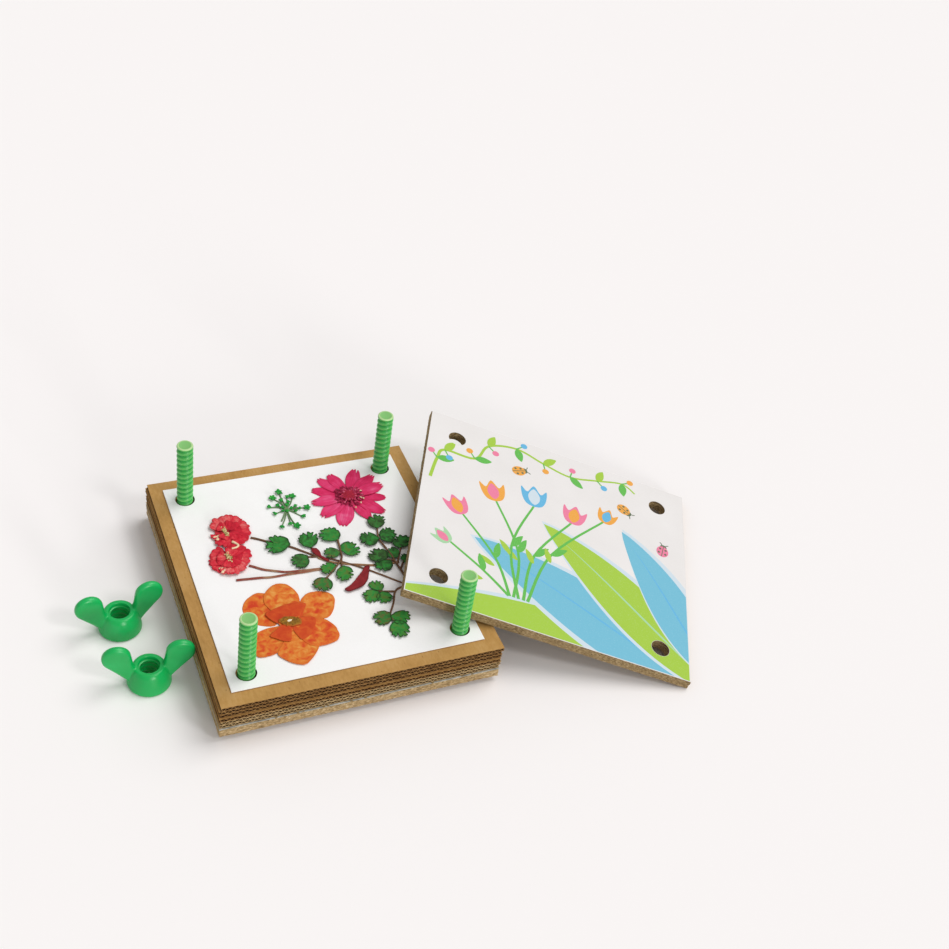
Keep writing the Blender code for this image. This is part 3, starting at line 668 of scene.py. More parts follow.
def make_bolts():
    """A moulded bolt has round helical crests, a dished top and a shallow head."""
    start, stop = BOLT_TOP - THREAD_LENGTH, BOLT_TOP - 0.0007
    rows = [(TABLE_Z, BOLT_HEAD - 0.0009), (TABLE_Z + 0.0003, BOLT_HEAD - 0.0003),
            (TABLE_Z + 0.0008, BOLT_HEAD), (BOLT_HEAD_TOP - 0.0006, BOLT_HEAD),
            (BOLT_HEAD_TOP - 0.0002, BOLT_HEAD - 0.0002), (BOLT_HEAD_TOP, BOLT_HEAD - 0.0006),
            (BOLT_HEAD_TOP, BOLT_CREST), (start - 0.0006, BOLT_CREST), (start, BOLT_ROOT)]
    steps = round((stop - start) / (THREAD_PITCH / THREAD_ROWS))
    heights = [start + (stop - start) * (i + 1) / steps for i in range(steps)]
    rows += [(height, bolt_thread(height, start, stop)) for height in heights]
    rows += [(BOLT_TOP - 0.0003, BOLT_CREST - 0.0001), (BOLT_TOP - 0.00008, BOLT_CREST - 0.0003),
             (BOLT_TOP, BOLT_CREST - 0.0006), (BOLT_TOP, BOLT_CREST - 0.0009),
             (BOLT_TOP - 0.00008, BOLT_CREST - 0.0012), (BOLT_TOP - 0.0001, 0.0010)]
    shape = bmesh.new()
    crest = shape.verts.layers.float.new("crest")
    add_turned(shape, rows, BOLT_SIDES)
    # The crest attribute rises towards the thread's crests, where the bolt's paint lays its painted
    # highlight.
    for vert in shape.verts:
        if vert.co.z > start:
            vert[crest] = max(0.0, (vert.co.xy.length - BOLT_ROOT) / (BOLT_CREST - BOLT_ROOT) - 0.35) / 0.65
    # The top's faces take the pale paints: a painted highlight on the end and a brighter one on its rim.
    for face in shape.faces:
        if all(vert.co.z > BOLT_TOP - 0.0004 for vert in face.verts):
            on_end_face = all(vert.co.xy.length < BOLT_CREST - 0.0008 for vert in face.verts)
            face.material_index = 1 if on_end_face else 2
    mesh = as_mesh(shape, "threaded_bolt", sharp=60)
    for name, (x, y) in zip(CORNERS, BOLT_PLACES):
        finished(f"threaded_bolt_{name}", mesh.copy(), [bolt_green_with_painted_highlight, bolt_end_with_painted_highlight, bolt_rim_with_painted_highlight], "base",
                 "green_plastic", f"bolt_{name}", place=Matrix.Translation((x, y, 0.0)))


def add_boss(shape):
    """Add the nut's body: a flared foot, a belly and a softly rounded top."""
    foot, top, height = NUT_FOOT, NUT_TOP, NUT_HEIGHT
    rows = [(0.0, foot - 0.0006), (0.0003, foot - 0.0001), (0.0010, foot), (height * 0.18, foot - 0.0001),
            (height * 0.36, foot - 0.0004), (height * 0.52, foot - 0.0008), (height * 0.68, foot - 0.0014),
            (height * 0.84, top + 0.0010), (height - 0.0006, top + 0.0004), (height - 0.0001, top),
            (height, top - 0.0003)]
    add_turned(shape, rows, NUT_SIDES)


def add_paddle(shape, side):
    """Add one paddle: a round lobe on a neck that widens into the boss, thicker below than at its rim."""
    lobe = (WING_REACH - WING_LOBE, WING_TOP - WING_LOBE)
    outline = [offset(lobe, WING_LOBE, math.radians(170 - 215 * i / 18)) for i in range(19)]
    outline += [(0.0153, 0.0103), (0.0134, 0.0083), (0.0113, 0.0060), (0.0095, 0.0040), (0.0080, 0.0024),
                (0.0052, 0.0024), (0.0050, 0.0084), (0.0056, 0.0102), (0.0062, 0.0124)]
    points = smooth_path(outline, 3, closed=True)
    centre = Vector((0.0114, 0.0136))
    rings = []
    for share, half in WING_LAYERS:
        loop = []
        for point in points:
            inner = centre + (point - centre) * share
            thick = WING_HALF_THICK + WING_FOOT_SWELL * max(0.0, 1 - inner.y / WING_SWELL_HEIGHT)
            loop.append(shape.verts.new((side * inner.x, side * half * thick, inner.y)))
        rings.append(loop)
    for low, high in zip(rings, rings[1:]):
        bridge(shape, low, high)
    cap(shape, [rings[0]])
    cap(shape, [rings[-1]])


def bore_mesh():
    """What the bore takes away: a threaded hole with a wider mouth."""
    def thread(height):
        return lambda angle: NUT_BORE + NUT_THREAD_DEEP * helix(height, angle)

    shape = bmesh.new()
    top = NUT_HEIGHT - NUT_MOUTH_DEEP
    rows = [(-0.001, NUT_BORE + 0.0003), (0.0, NUT_BORE + 0.0003)]
    rows += [(0.0004 + (top - 0.0005) * i / BORE_STEPS, thread(top * i / BORE_STEPS))
             for i in range(BORE_STEPS + 1)]
    rows += [(top, NUT_MOUTH - 0.0001), (top + 0.0001, NUT_MOUTH), (NUT_HEIGHT - 0.0002, NUT_MOUTH),
             (NUT_HEIGHT + 0.0002, NUT_MOUTH + 0.0003), (NUT_HEIGHT + 0.002, NUT_MOUTH + 0.0003)]
    add_turned(shape, rows, BORE_SIDES)
    return as_mesh(shape, "nut_bore")


def nut_mesh():
    shape = bmesh.new()
    add_boss(shape)
    add_paddle(shape, 1)
    add_paddle(shape, -1)
    mesh = worked(as_mesh(shape, "wing_nut"), ("REMESH", {"mode": "VOXEL", "voxel_size": NUT_VOXEL}),
                  ("SMOOTH", {"factor": 0.5, "iterations": 7}))
    bore = linked("bore", bore_mesh())
    mesh = cut_out(mesh, bore)
    bpy.data.objects.remove(bore)
    return smoothed(mesh, 40)


def node_turn(node):
    """The direction in which a nut's wings lie, from the spread of its points."""
    centre = middle(node)
    xx = xy = yy = 0.0
    for vertex in nodes[node].data.vertices:
        x, y = vertex.co.x - centre.x, vertex.co.y - centre.y
        if vertex.co.z > TABLE_Z + NUT_HEIGHT + MM:
            xx, xy, yy = xx + x * x, xy + x * y, yy + y * y
    return 0.5 * math.atan2(2 * xy, xx - yy)


def make_nuts():
    mesh = nut_mesh()
    for number in range(1, len(CORNERS) + 1):
        node = f"wing_nut_{number}"
        centre = middle(node)
        place = Matrix.Translation((centre.x, centre.y, TABLE_Z)) @ Matrix.Rotation(node_turn(node), 4, "Z")
        turned = mesh.copy()
        turned.transform(place)
        finished(f"moulded_{node}", turned, [nut_green], f"nut_{number}", "green_plastic", node)


# Pressed flowers, in millimetres on the blotter
def pressing():
    """A bmesh for thin dried pieces, with the layers that their paints read."""
    shape = bmesh.new()
    shape.loops.layers.uv.new("UVMap")
    shape.faces.layers.float.new("tone")
    shape.verts.layers.float.new("rim")
    return shape


def mark(shape, face, uvs, tone, paint):
    """Give a face its places along and across the petal, its tone and its paint slot."""
    layer = shape.loops.layers.uv.active
    for loop, uv in zip(face.loops, uvs):
        loop[layer].uv = uv
    face[shape.faces.layers.float["tone"]] = tone
    face.material_index = paint


def add_blade(shape, place, turn, rows, columns, point, tone=0.0, paint=0):
    """Add a petal as a grid, from a function that gives each point along, across and up.

    Its u runs from 0 at the base to 1 at the tip, and its v from -1 to 1 across the petal.
    """
    rim = shape.verts.layers.float["rim"]
    grid = []
    for i in range(rows + 1):
        line = []
        for j in range(columns + 1):
            u, v = i / rows, 2 * j / columns - 1
            along, across, rise = point(u, v)
            vert = shape.verts.new((*offset(place, along, turn, across), place[2] + rise))
            vert[rim] = max(u, abs(v))
            line.append(vert)
        grid.append(line)
    for i in range(rows):
        for j in range(columns):
            corners = ((i, j), (i + 1, j), (i + 1, j + 1), (i, j + 1))
            face = shape.faces.new([grid[a][b] for a, b in corners])
            mark(shape, face, [(a / rows, b / columns) for a, b in corners], tone, paint)


def add_patch(shape, outline, centre, height, tone=0.0, paint=0, shares=(0.3, 0.6, 0.82, 0.94, 1.0)):
    """Add a flat leaf or petal as rings from its centre to its outline; height(x, y, share) is its rise."""
    rim = shape.verts.layers.float["rim"]
    hub = shape.verts.new((*centre, height(*centre, 0.0)))
    rings = []
    for share in shares:
        loop = []
        for x, y in outline:
            px, py = centre[0] + (x - centre[0]) * share, centre[1] + (y - centre[1]) * share
            vert = shape.verts.new((px, py, height(px, py, share)))
            vert[rim] = share
            loop.append(vert)
        rings.append(loop)
    count = len(outline)
    for i in range(count):
        j = (i + 1) % count
        start, stop = i / count, (i + 1) / count
        face = shape.faces.new((hub, rings[0][i], rings[0][j]))
        mark(shape, face, [(0.0, start), (shares[0], start), (shares[0], stop)], tone, paint)
        for inner, outer, near, far in zip(rings, rings[1:], shares, shares[1:]):
            face = shape.faces.new((inner[i], outer[i], outer[j], inner[j]))
            mark(shape, face, [(near, start), (far, start), (far, stop), (near, stop)], tone, paint)


def add_tube(shape, path, radii, sides, flat=1.0, tone=0.0, paint=0):
    """Add a closed round stem along a path of (x, y, z); flat squeezes it towards the sheet."""
    rings = []
    for i, (place, radius) in enumerate(zip(path, radii)):
        ahead = path[min(i + 1, len(path) - 1)] - path[max(i - 1, 0)]
        aside = Vector((-ahead.y, ahead.x, 0.0)).normalized()
        lift = ahead.cross(aside).normalized() * flat
        rings.append([shape.verts.new(place + (aside * math.cos(a) + lift * math.sin(a)) * radius)
                      for a in (TAU * k / sides for k in range(sides))])
    for i, (low, high) in enumerate(zip(rings, rings[1:])):
        for k in range(sides):
            face = shape.faces.new((low[k], low[(k + 1) % sides], high[(k + 1) % sides], high[k]))
            u, v = i / len(path), k / sides
            mark(shape, face, [(u, v), (u, v + 1 / sides), (u, v + 1 / sides), (u, v)], tone, paint)
    for loop, u in ((rings[0], 0.0), (rings[-1], 1.0)):
        mark(shape, shape.faces.new(loop), [(u, 0.0)] * sides, tone, paint)


def stem_path(points, lift, steps=6, seed=0.0):
    """A stem's path: a smooth curve through (x, y) points that wanders a little up and down."""
    return [Vector((p.x + 0.18 * ripple(p.x, p.y, 5, seed), p.y + 0.18 * ripple(p.y, p.x, 5, seed),
                    lift + 0.12 * ripple(p.x, p.y, 7, seed + 1))) for p in smooth_path(points, steps)]


def tapered(path, start, stop):
    """Radii that change evenly along a path."""
    return [start + (stop - start) * i / (len(path) - 1) for i in range(len(path))]


def add_knob(shape, place, radius, tone=0.0, paint=0):
    """Add a small bead, such as a bud or the head of a stamen."""
    made = bmesh.ops.create_icosphere(shape, subdivisions=2, radius=radius)
    for vert in made["verts"]:
        bump = 1 + 0.15 * ripple(vert.co.x * 3, vert.co.y * 3, radius, place[0])
        vert.co = Vector((vert.co.x * bump, vert.co.y * bump, vert.co.z)) + Vector(place)
    for face in {face for vert in made["verts"] for face in vert.link_faces}:
        mark(shape, face, [(0.5, 0.5)] * 3, tone, paint)


def pressed(name, shape, paints, slot, *stands_for, thick=0.14):
    """Give open blades their thickness, scale them to metres on the blotter and finish the piece."""
    solid = [face for face in shape.faces if not any(edge.is_boundary for edge in face.edges)]
    bmesh.ops.recalc_face_normals(shape, faces=solid)
    mesh = painted(as_mesh(shape, name, sharp=50, closed=False), paints)
    if thick:
        mesh = worked(mesh, ("SOLIDIFY", {"thickness": thick, "offset": 1.0, "use_rim": True}))
    mesh.transform(Matrix.Translation((0.0, 0.0, PAPER_TOP)) @ Matrix.Scale(MM, 4))
    finished(name, mesh, (), "blotter", slot, *stands_for)


PINK_MIDDLE = (25.6, 36.1)
# Each petal: direction in degrees, length, half width, and how deep its two notches are
PINK_PETALS = ((63, 19.2, 3.5, 0.16, 0.04), (37, 18.9, 3.1, 0.05, 0.09), (14, 17.9, 3.7, 0.07, 0.10),
               (345, 16.8, 2.6, 0.02, 0.02), (312, 18.6, 3.5, 0.04, 0.12), (286, 16.8, 3.0, 0.05, 0.05),
               (244, 19.6, 4.0, 0.03, 0.06), (212, 18.8, 3.7, 0.06, 0.12), (182, 18.0, 3.3, 0.14, 0.06),
               (152, 17.4, 3.1, 0.05, 0.08), (126, 17.8, 3.1, 0.08, 0.04), (106, 16.9, 3.0, 0.07, 0.05))


def pink_blade(length, half, notches, seed):
    """A long petal with two notches in its tip and pleats that run to them."""
    start = 2.0

    def point(u, v):
        notch = math.sin(1.5 * math.pi * v) ** 2
        depth = notches[0] if v < 0 else notches[1]
        tip = 1 - depth * notch ** 2 - 0.05 * v * v + 0.02 * ripple(v, seed, 0.3)
        swell = math.sin(min(1.0, u / 0.68) * math.pi / 2)
        shut = 1 - 0.42 * max(0.0, (u - 0.68) / 0.32) ** 2
        across = half * v * (0.34 + 0.66 * swell) * shut
        along = start + (length - start) * u * tip
        pleat = 0.16 * math.cos(2.5 * math.pi * v) * math.sin(math.pi * min(1.0, u * 1.15))
        rise = 0.14 + pleat * 0.7 + 0.22 * ripple(along, across, 5, seed) * u + 0.28 * (1 - u) ** 2
        return along, across, max(0.02, rise)
    return point


# Rings of florets from the petals inwards: radius, count and height
PINK_FLORETS = ((6.2, 26, 0.55), (5.2, 24, 0.75), (4.2, 19, 0.95), (3.4, 14, 1.05))
PINK_DISC = 3.3
PINK_BEADS = 120
GOLDEN_TURN = 2.39996
# Torn scraps on the petals, which lie a little nearer to the flower's middle than these places
PINK_SCRAPS = ((5.7, 1.4), (4.3, -2.6), (5.6, -3.2), (4.0, -5.8), (0.0, -8.6))
PINK_SCRAP_SHARE = 0.93


def floret_blade(length, half, seed):
    """A short ruffled petal that stands up and curls over."""
    def point(u, v):
        across = half * v * (0.6 + 0.8 * u - 0.5 * u * u) * (1 + 0.2 * math.sin(9 * u + 6 * seed))
        rise = 0.5 * math.sin(2.6 * u) + 0.22 * abs(v) - 0.1 * seed
        return length * u * (1 - 0.15 * abs(v)), across, rise
    return point


def make_pink_flower():
    """A pressed flower with notched, pleated petals round a heart of ruffled florets."""
    chance = random.Random(4)
    shape = pressing()
    for i, (direction, length, half, left, right) in enumerate(PINK_PETALS):
        lift = 0.05 + 0.16 * (i % 3)
        add_blade(shape, (*PINK_MIDDLE, lift), math.radians(direction), 18, 20,
                  pink_blade(length, half, (left, right), i * 1.3), chance.uniform(-0.08, 0.10))
    for radius, count, lift in PINK_FLORETS:
        for k in range(count):
            turn = TAU * (k + chance.uniform(-0.3, 0.3)) / count
            away = radius + chance.uniform(-0.5, 0.4)
            place = (*offset(PINK_MIDDLE, away - 1.2, turn), lift)
            add_blade(shape, place, turn + chance.uniform(-0.5, 0.5), 5, 4,
                      floret_blade(chance.uniform(1.5, 2.3), chance.uniform(0.34, 0.55), chance.random()),
                      chance.uniform(-0.16, 0.10), 1)
    for k in range(PINK_BEADS):
        away = PINK_DISC * math.sqrt((k + 0.5) / PINK_BEADS)
        lift = 1.15 + 0.35 * math.cos(away / PINK_DISC * math.pi / 2)
        add_knob(shape, (*offset(PINK_MIDDLE, away, k * GOLDEN_TURN), lift), 0.26 + 0.05 * chance.random(),
                 0.18 if away > 2.9 else chance.uniform(-0.1, 0.06), 2)
    for x, y in PINK_SCRAPS:
        place = (PINK_MIDDLE[0] + x * PINK_SCRAP_SHARE, PINK_MIDDLE[1] + y * PINK_SCRAP_SHARE, 1.0)
        add_blade(shape, place, math.atan2(y, x) + chance.uniform(-0.8, 0.8), 5, 4,
                  floret_blade(1.2, 0.4, chance.random()), 0.1, 3)
    pressed("pressed_pink_flower", shape, [pink_petal, pink_heart, pink_disc, cream_petal], "pink_petal",
            "pink_flower")


ORANGE_MIDDLE = (-21.4, -30.6)
# Outlines from the back petal forwards, each over the one before
ORANGE_PETALS = (
    ((-27.3, -30.2), (-34.6, -28.7), (-37.2, -25.0), (-38.6, -19.5), (-36.9, -15.2), (-33.8, -12.6),
     (-29.9, -11.2), (-26.2, -13.5), (-24.4, -20.0)),
    ((-17.5, -27.0), (-14.6, -20.6), (-10.6, -16.9), (-5.8, -16.5), (-1.2, -18.6), (0.2, -22.0),
     (-1.8, -27.6), (-5.4, -31.6), (-10.5, -31.6)),
    ((-24.0, -28.0), (-27.9, -20.8), (-28.9, -16.4), (-26.9, -11.8), (-22.6, -8.6), (-18.7, -8.6),
     (-15.9, -11.0), (-14.0, -16.4), (-15.6, -22.6)),
    ((-25.8, -32.0), (-32.8, -31.8), (-37.2, -33.9), (-39.4, -38.4), (-40.0, -43.2), (-38.2, -45.9),
     (-32.4, -45.6), (-26.6, -42.6), (-23.4, -37.0)),
    ((-22.2, -34.6), (-27.6, -41.0), (-31.2, -45.6), (-29.7, -48.9), (-26.3, -52.3), (-22.0, -54.0),
     (-18.4, -51.6), (-14.6, -47.4), (-13.6, -43.8), (-17.2, -38.6)),
    ((-18.0, -33.0), (-11.6, -31.2), (-7.4, -32.8), (-4.6, -36.8), (-4.0, -41.6), (-5.6, -44.8),
     (-10.4, -46.2), (-16.0, -45.6), (-19.4, -41.4), (-20.6, -37.4)))
ORANGE_CROWN = (
    ((-26.4, -30.4), (-30.4, -24.3), (-26.9, -22.4), (-22.9, -21.2), (-19.0, -20.7), (-15.8, -21.0),
     (-12.5, -22.5), (-14.4, -26.0), (-16.4, -29.2), (-21.0, -29.0)),
    ((-17.4, -29.0), (-14.6, -29.6), (-11.7, -30.3), (-11.0, -31.9), (-11.6, -34.0), (-13.4, -37.0),
     (-16.0, -39.8), (-19.6, -41.1), (-21.0, -38.0), (-21.6, -34.6), (-20.0, -31.4)),
    ((-25.0, -31.4), (-28.2, -33.4), (-31.7, -36.0), (-29.9, -37.9), (-27.3, -40.0), (-24.3, -40.8),
     (-22.9, -37.2), (-22.2, -33.4)))
ORANGE_TONES = (-0.03, 0.02, 0.04, -0.02, 0.03, -0.05)
ORANGE_SHARES = (0.25, 0.5, 0.72, 0.88, 0.96, 1.0)
ORANGE_SLIT = ((-23.4, -30.7), (-21.8, -29.5), (-20.2, -29.3), (-20.7, -30.3), (-22.2, -31.0))
ORANGE_GRAINS = 26


def petal_outline(points, steps):
    """A closed curve through the points, and its middle."""
    outline = smooth_path(points, steps, closed=True)
    return outline, sum(outline, Vector((0.0, 0.0))) / len(outline)


def make_orange_flower():
    """Six broad see-through petals with a darker crown of three fans and a split olive eye."""
    middle_x, middle_y = ORANGE_MIDDLE
    shape = pressing()
    for i, (points, tone) in enumerate(zip(ORANGE_PETALS, ORANGE_TONES)):
        outline, centre = petal_outline(points, 7)
        edged = [p + (p - centre) * 0.02 * ripple(p.x, p.y, 1.6, i) for p in outline]
        add_patch(shape, edged, centre, lambda x, y, share: (
            0.05 + 0.09 * i + 0.06 * (1 + ripple(x, y, 6, i)) * share ** 2 + 0.04 * ripple(x, y, 2, i)),
            tone, shares=ORANGE_SHARES)
    for i, points in enumerate(ORANGE_CROWN):
        outline, centre = petal_outline(points, 5)
        add_patch(shape, outline, centre, lambda x, y, share: (
            0.68 + 0.06 * i + 0.08 * ripple(x, y, 3, i + 9) * share), 0.02 * i - 0.02, 1)
    add_patch(shape, ring(middle_x, middle_y, 5.0, 40), ORANGE_MIDDLE,
              lambda x, y, share: 0.62 + 0.05 * ripple(x, y, 2, 4), -0.06)
    eye = [(middle_x + 4.6 * math.cos(a) * (1 + 0.05 * math.sin(5 * a)) - 0.9 * math.sin(a),
            middle_y + 2.9 * math.sin(a) * (1 + 0.06 * math.cos(7 * a)) - 0.5 * math.cos(a))
           for a in (TAU * k / 48 for k in range(48))]
    add_patch(shape, eye, ORANGE_MIDDLE,
              lambda x, y, share: 0.92 + 0.30 * math.sin(math.pi * share), 0.0, 2)
    slit = smooth_path(ORANGE_SLIT, 4, closed=True)
    add_patch(shape, slit, (-21.6, -30.2), lambda x, y, share: 1.16, 0.3, 3)
    chance = random.Random(8)
    for k in range(ORANGE_GRAINS):
        turn, away = TAU * k / ORANGE_GRAINS, chance.uniform(1.9, 3.1)
        place = (middle_x + 1.25 * away * math.cos(turn), middle_y + 0.85 * away * math.sin(turn), 1.18)
        add_knob(shape, place, chance.uniform(0.14, 0.26), chance.uniform(-0.1, 0.3), 2)
    pressed("pressed_orange_flower", shape, [orange_petal, orange_star, orange_eye, cream_petal],
            "orange_petal", "orange_flower", thick=0.10)


# Red blossoms: middle, middle of the stamens, then each petal's direction, length and half width
RED_UPPER = ((-32.4, 26.2), (-34.2, 26.4), (
    (128, 9.2, 3.2), (100, 10.2, 3.8), (68, 10.2, 4.2), (35, 9.4, 4.3), (4, 9.2, 4.4), (333, 9.0, 4.2),
    (300, 9.4, 4.0), (262, 9.4, 3.4), (236, 9.8, 3.0), (158, 6.2, 2.0)))
RED_LOWER = ((-36.5, 10.2), (-36.6, 10.8), (
    (134, 8.8, 3.6), (164, 8.4, 3.8), (198, 8.8, 3.9), (226, 9.0, 3.4), (250, 9.4, 3.0), (283, 9.4, 3.6),
    (318, 8.4, 3.8), (350, 8.7, 3.8), (22, 10.2, 3.9), (52, 9.2, 3.6)))
# Torn scraps: direction, distance from the middle, length and paint slot
RED_UPPER_SCRAPS = ((196, 3.4, 4.6, 1), (208, 2.8, 4.4, 1), (186, 5.4, 3.0, 0), (212, 5.0, 3.2, 0))
RED_LOWER_SCRAPS = ((238, 5.8, 3.4, 1), (232, 4.6, 3.0, 1))
RED_UPPER_HOOK = ((-32.9, 19.2), (-31.7, 17.9), (-31.0, 16.3), (-32.3, 15.3), (-34.0, 15.2))
RED_STAMENS = 46


def frilled_blade(length, half, seed):
    """A crinkled petal: narrow at its base, broad and toothed at its end."""
    def point(u, v):
        teeth = abs(math.sin(4.2 * v + seed * 3)) ** 0.6
        tip = 0.90 + 0.10 * teeth + 0.07 * ripple(v, seed, 0.4) - 0.12 * v ** 4
        across = half * v * (0.25 + 0.85 * math.sin(min(1.0, u * 1.05) * math.pi / 2) ** 1.2)
        across *= 1 + 0.08 * ripple(u, v, 0.25, seed)
        along = 0.4 + (length - 0.4) * u * tip
        fold = 0.22 * math.cos(5 * v + 2 * seed + 2 * u)
        crinkle = fold * u + 0.34 * ripple(along, across, 1.7, seed) * u
        return along, across, max(0.0, 0.45 + crinkle)
    return point


def make_red_flower(node, spec, torn, seed, hook=None):
    """Crinkled petals round a tuft of stamens, with torn scraps at one side and perhaps a bent thread."""
    centre, tuft, petals = spec
    chance = random.Random(seed)
    shape = pressing()
    order = list(range(len(petals)))
    chance.shuffle(order)
    for rank, i in enumerate(order):
        direction, length, half = petals[i]
        add_blade(shape, (*centre, 0.08 + 0.09 * rank), math.radians(direction), 14, 26,
                  frilled_blade(length, half, seed + i * 1.7), chance.uniform(-0.12, 0.12))
        turn = math.radians(direction + chance.uniform(-14, 14))
        add_blade(shape, (*centre, 0.45 + 0.09 * rank), turn, 10, 18,
                  frilled_blade(length * 0.62, half * 0.7, seed + i * 2.3), chance.uniform(-0.18, 0.10))
    for direction, away, length, paint in torn:
        turn = math.radians(direction)
        add_blade(shape, (*offset(centre, away, turn), 0.5), turn + chance.uniform(-0.3, 0.3), 8, 12,
                  frilled_blade(length, 1.5, chance.random()), 0.0, paint)
    for _ in range(RED_STAMENS):
        turn, away = chance.uniform(0, TAU), chance.uniform(0.1, 1.0)
        foot = Vector((tuft[0] + 0.9 * away * math.cos(turn), tuft[1] + 3.2 * away * math.sin(turn), 1.4))
        lean = (chance.uniform(-0.8, 0.8), chance.uniform(-0.8, 0.8), chance.uniform(0.15, 0.45))
        head = foot + Vector(lean)
        add_tube(shape, [foot, head], [0.11, 0.09], 5, tone=chance.uniform(-0.1, 0.2), paint=2)
        add_knob(shape, head, chance.uniform(0.14, 0.24), chance.uniform(-0.15, 0.3), 2)
    if hook:
        path = stem_path(hook, 1.7)
        add_tube(shape, path, tapered(path, 0.42, 0.30), 8, paint=1)
    pressed(f"pressed_{node}", shape, [red_petal, cream_petal, stamen_cream], "red_petal", node)


# Each sprig: its lift, its stems through x and y, and its leaves' foot x and y, length and direction
SPRIGS = {
    "leaf_sprig_left": (0.35, (
        ((-24.2, 21.0), (-17.6, 16.9), (-9.0, 11.4), (0.6, 2.8), (5.3, 0.3), (10.4, -3.1), (17.9, -9.0),
         (23.9, -14.4), (30.9, -21.1)),
        ((-0.7, 9.4), (1.8, 1.9)), ((-5.6, 4.2), (0.6, 2.8))),
        ((-9.3, 11.6, 10.4, 155), (-0.3, 8.2, 9.4, 92), (-3.5, 3.7, 8.4, 205))),
    "leaf_sprig_middle": (0.75, (
        ((11.9, 10.2), (10.9, 3.4), (9.9, -1.4), (4.1, -7.3), (-0.2, -11.0)), ((9.9, -1.4), (8.3, -7.0))),
        ((11.8, 9.7, 9.0, 118), (10.8, 2.8, 7.2, 178), (10.8, 3.1, 8.4, 5), (6.6, -4.8, 7.4, 190),
         (8.7, -5.6, 8.6, 268), (0.4, -10.5, 8.2, 232))),
    "leaf_sprig_right": (0.75, (
        ((33.0, -17.1), (32.3, -9.4), (31.2, -1.0), (29.8, 6.5), (31.3, 13.2)),
        ((32.5, -10.4), (35.1, -5.1), (37.4, -1.0)), ((32.2, -8.1), (28.0, -6.2)),
        ((32.7, -13.6), (35.9, -8.8))),
        ((31.2, 12.6, 8.6, 78), (29.9, 6.7, 8.4, 172), (29.9, 6.1, 8.6, 18), (36.9, -1.8, 8.2, 66),
         (28.9, -6.5, 8.4, 130), (29.9, -7.1, 7.6, 215), (34.4, -6.5, 6.4, 118), (35.1, -10.0, 5.0, 46))),
    "leaf_sprig_lower": (0.35, (
        ((30.6, -23.2), (26.6, -24.7), (23.2, -31.5), (20.1, -37.0), (20.2, -41.4)),
        ((26.1, -25.1), (20.6, -23.6), (19.0, -23.0))),
        ((20.4, -23.4, 6.4, 104), (19.4, -23.2, 8.0, 208), (20.8, -23.7, 6.8, 268), (20.3, -37.0, 8.2, 196),
         (20.2, -37.4, 7.8, 322), (20.2, -41.0, 9.4, 278)))}
LEAF_POINTS = 240


def leaf_outline(x, y, length, direction, seed):
    """A leaf with a round base and smooth sides; its broad far end has uneven lobes and two deep cuts."""
    chance = random.Random(seed)
    turn, half = math.radians(direction), 0.5 * length
    width, skew = chance.uniform(0.84, 1.06), chance.uniform(-0.22, 0.22)
    notches, angle = [], chance.uniform(-1.5, -1.2)
    while angle < 1.35:
        notches.append([angle, chance.uniform(0.12, 0.24), 0.19])
        angle += chance.uniform(0.36, 0.60)
    for notch in chance.sample(notches, 2):
        notch[1:] = chance.uniform(0.38, 0.62), 0.15
    points = []
    for k in range(LEAF_POINTS):
        angle = TAU * k / LEAF_POINTS - math.pi
        ahead, aside = math.cos(angle), math.sin(angle)
        reach = 1.02 + 0.07 * max(0.0, ahead) + 0.07 * ripple(ahead, aside, 0.9, seed)
        reach *= 1 - 0.10 * math.exp(-((abs(angle) - 2.7) / 0.30) ** 2)
        reach *= 1 - max(depth * max(0.0, 1 - abs(angle - place) / wide) for place, depth, wide in notches)
        across = half * width * reach * aside * (1 + 0.20 * ahead) + skew * half * ahead
        points.append(offset((x, y), half * (1 + reach * ahead), turn, across))
    return points


def add_leaf(shape, x, y, length, direction, lift, seed, paint):
    def height(px, py, share):
        curl = 0.35 * share ** 3 * (0.6 + ripple(px, py, 4, seed))
        return lift + curl + 0.12 * ripple(px, py, 1.6, seed)

    centre = offset((x, y), 0.5 * length, math.radians(direction))
    add_patch(shape, leaf_outline(x, y, length, direction, seed), centre, height,
              0.10 * math.sin(seed * 9), paint, (0.3, 0.55, 0.76, 0.90, 1.0))


def make_sprigs():
    """Leafy twigs; the leaves of the first lie above its stem, and every fourth leaf is browner."""
    for order, (node, (lift, stems, leaves)) in enumerate(SPRIGS.items()):
        shape = pressing()
        for i, points in enumerate(stems):
            path = stem_path(points, lift, seed=order + i)
            add_tube(shape, path, tapered(path, 0.30 if i else 0.36, 0.22), 8, paint=2)
        above = 0.12 if order else 0.45
        for i, leaf in enumerate(leaves):
            add_leaf(shape, *leaf, lift + above, order * 3.1 + i * 1.37, int((i + order) % 4 == 2))
        pressed(f"pressed_{node}", shape, [green_leaf, olive_leaf, stem_brown], "green_leaf", node)


# Stems of the red blossoms, and the broad stem that carries the sprigs
FLOWER_STEMS = {
    "flower_stem_upper": ((-29.3, 4.9), (-27.1, 3.4), (-22.9, 0.6), (-15.7, -2.3), (-8.0, -3.5),
                          (-2.6, -4.0), (1.2, -4.3)),
    "flower_stem_lower": ((-36.6, -2.2), (-28.8, -3.0), (-22.4, -3.9), (-15.7, -4.2), (-8.0, -4.5),
                          (-3.4, -4.7), (0.8, -4.9))}
BROAD_STEM = ((0.4, 2.2), (4.8, -1.3), (10.4, -3.9), (15.8, -5.9), (21.0, -7.6), (25.9, -8.5), (31.1, -8.8),
              (33.8, -8.8))


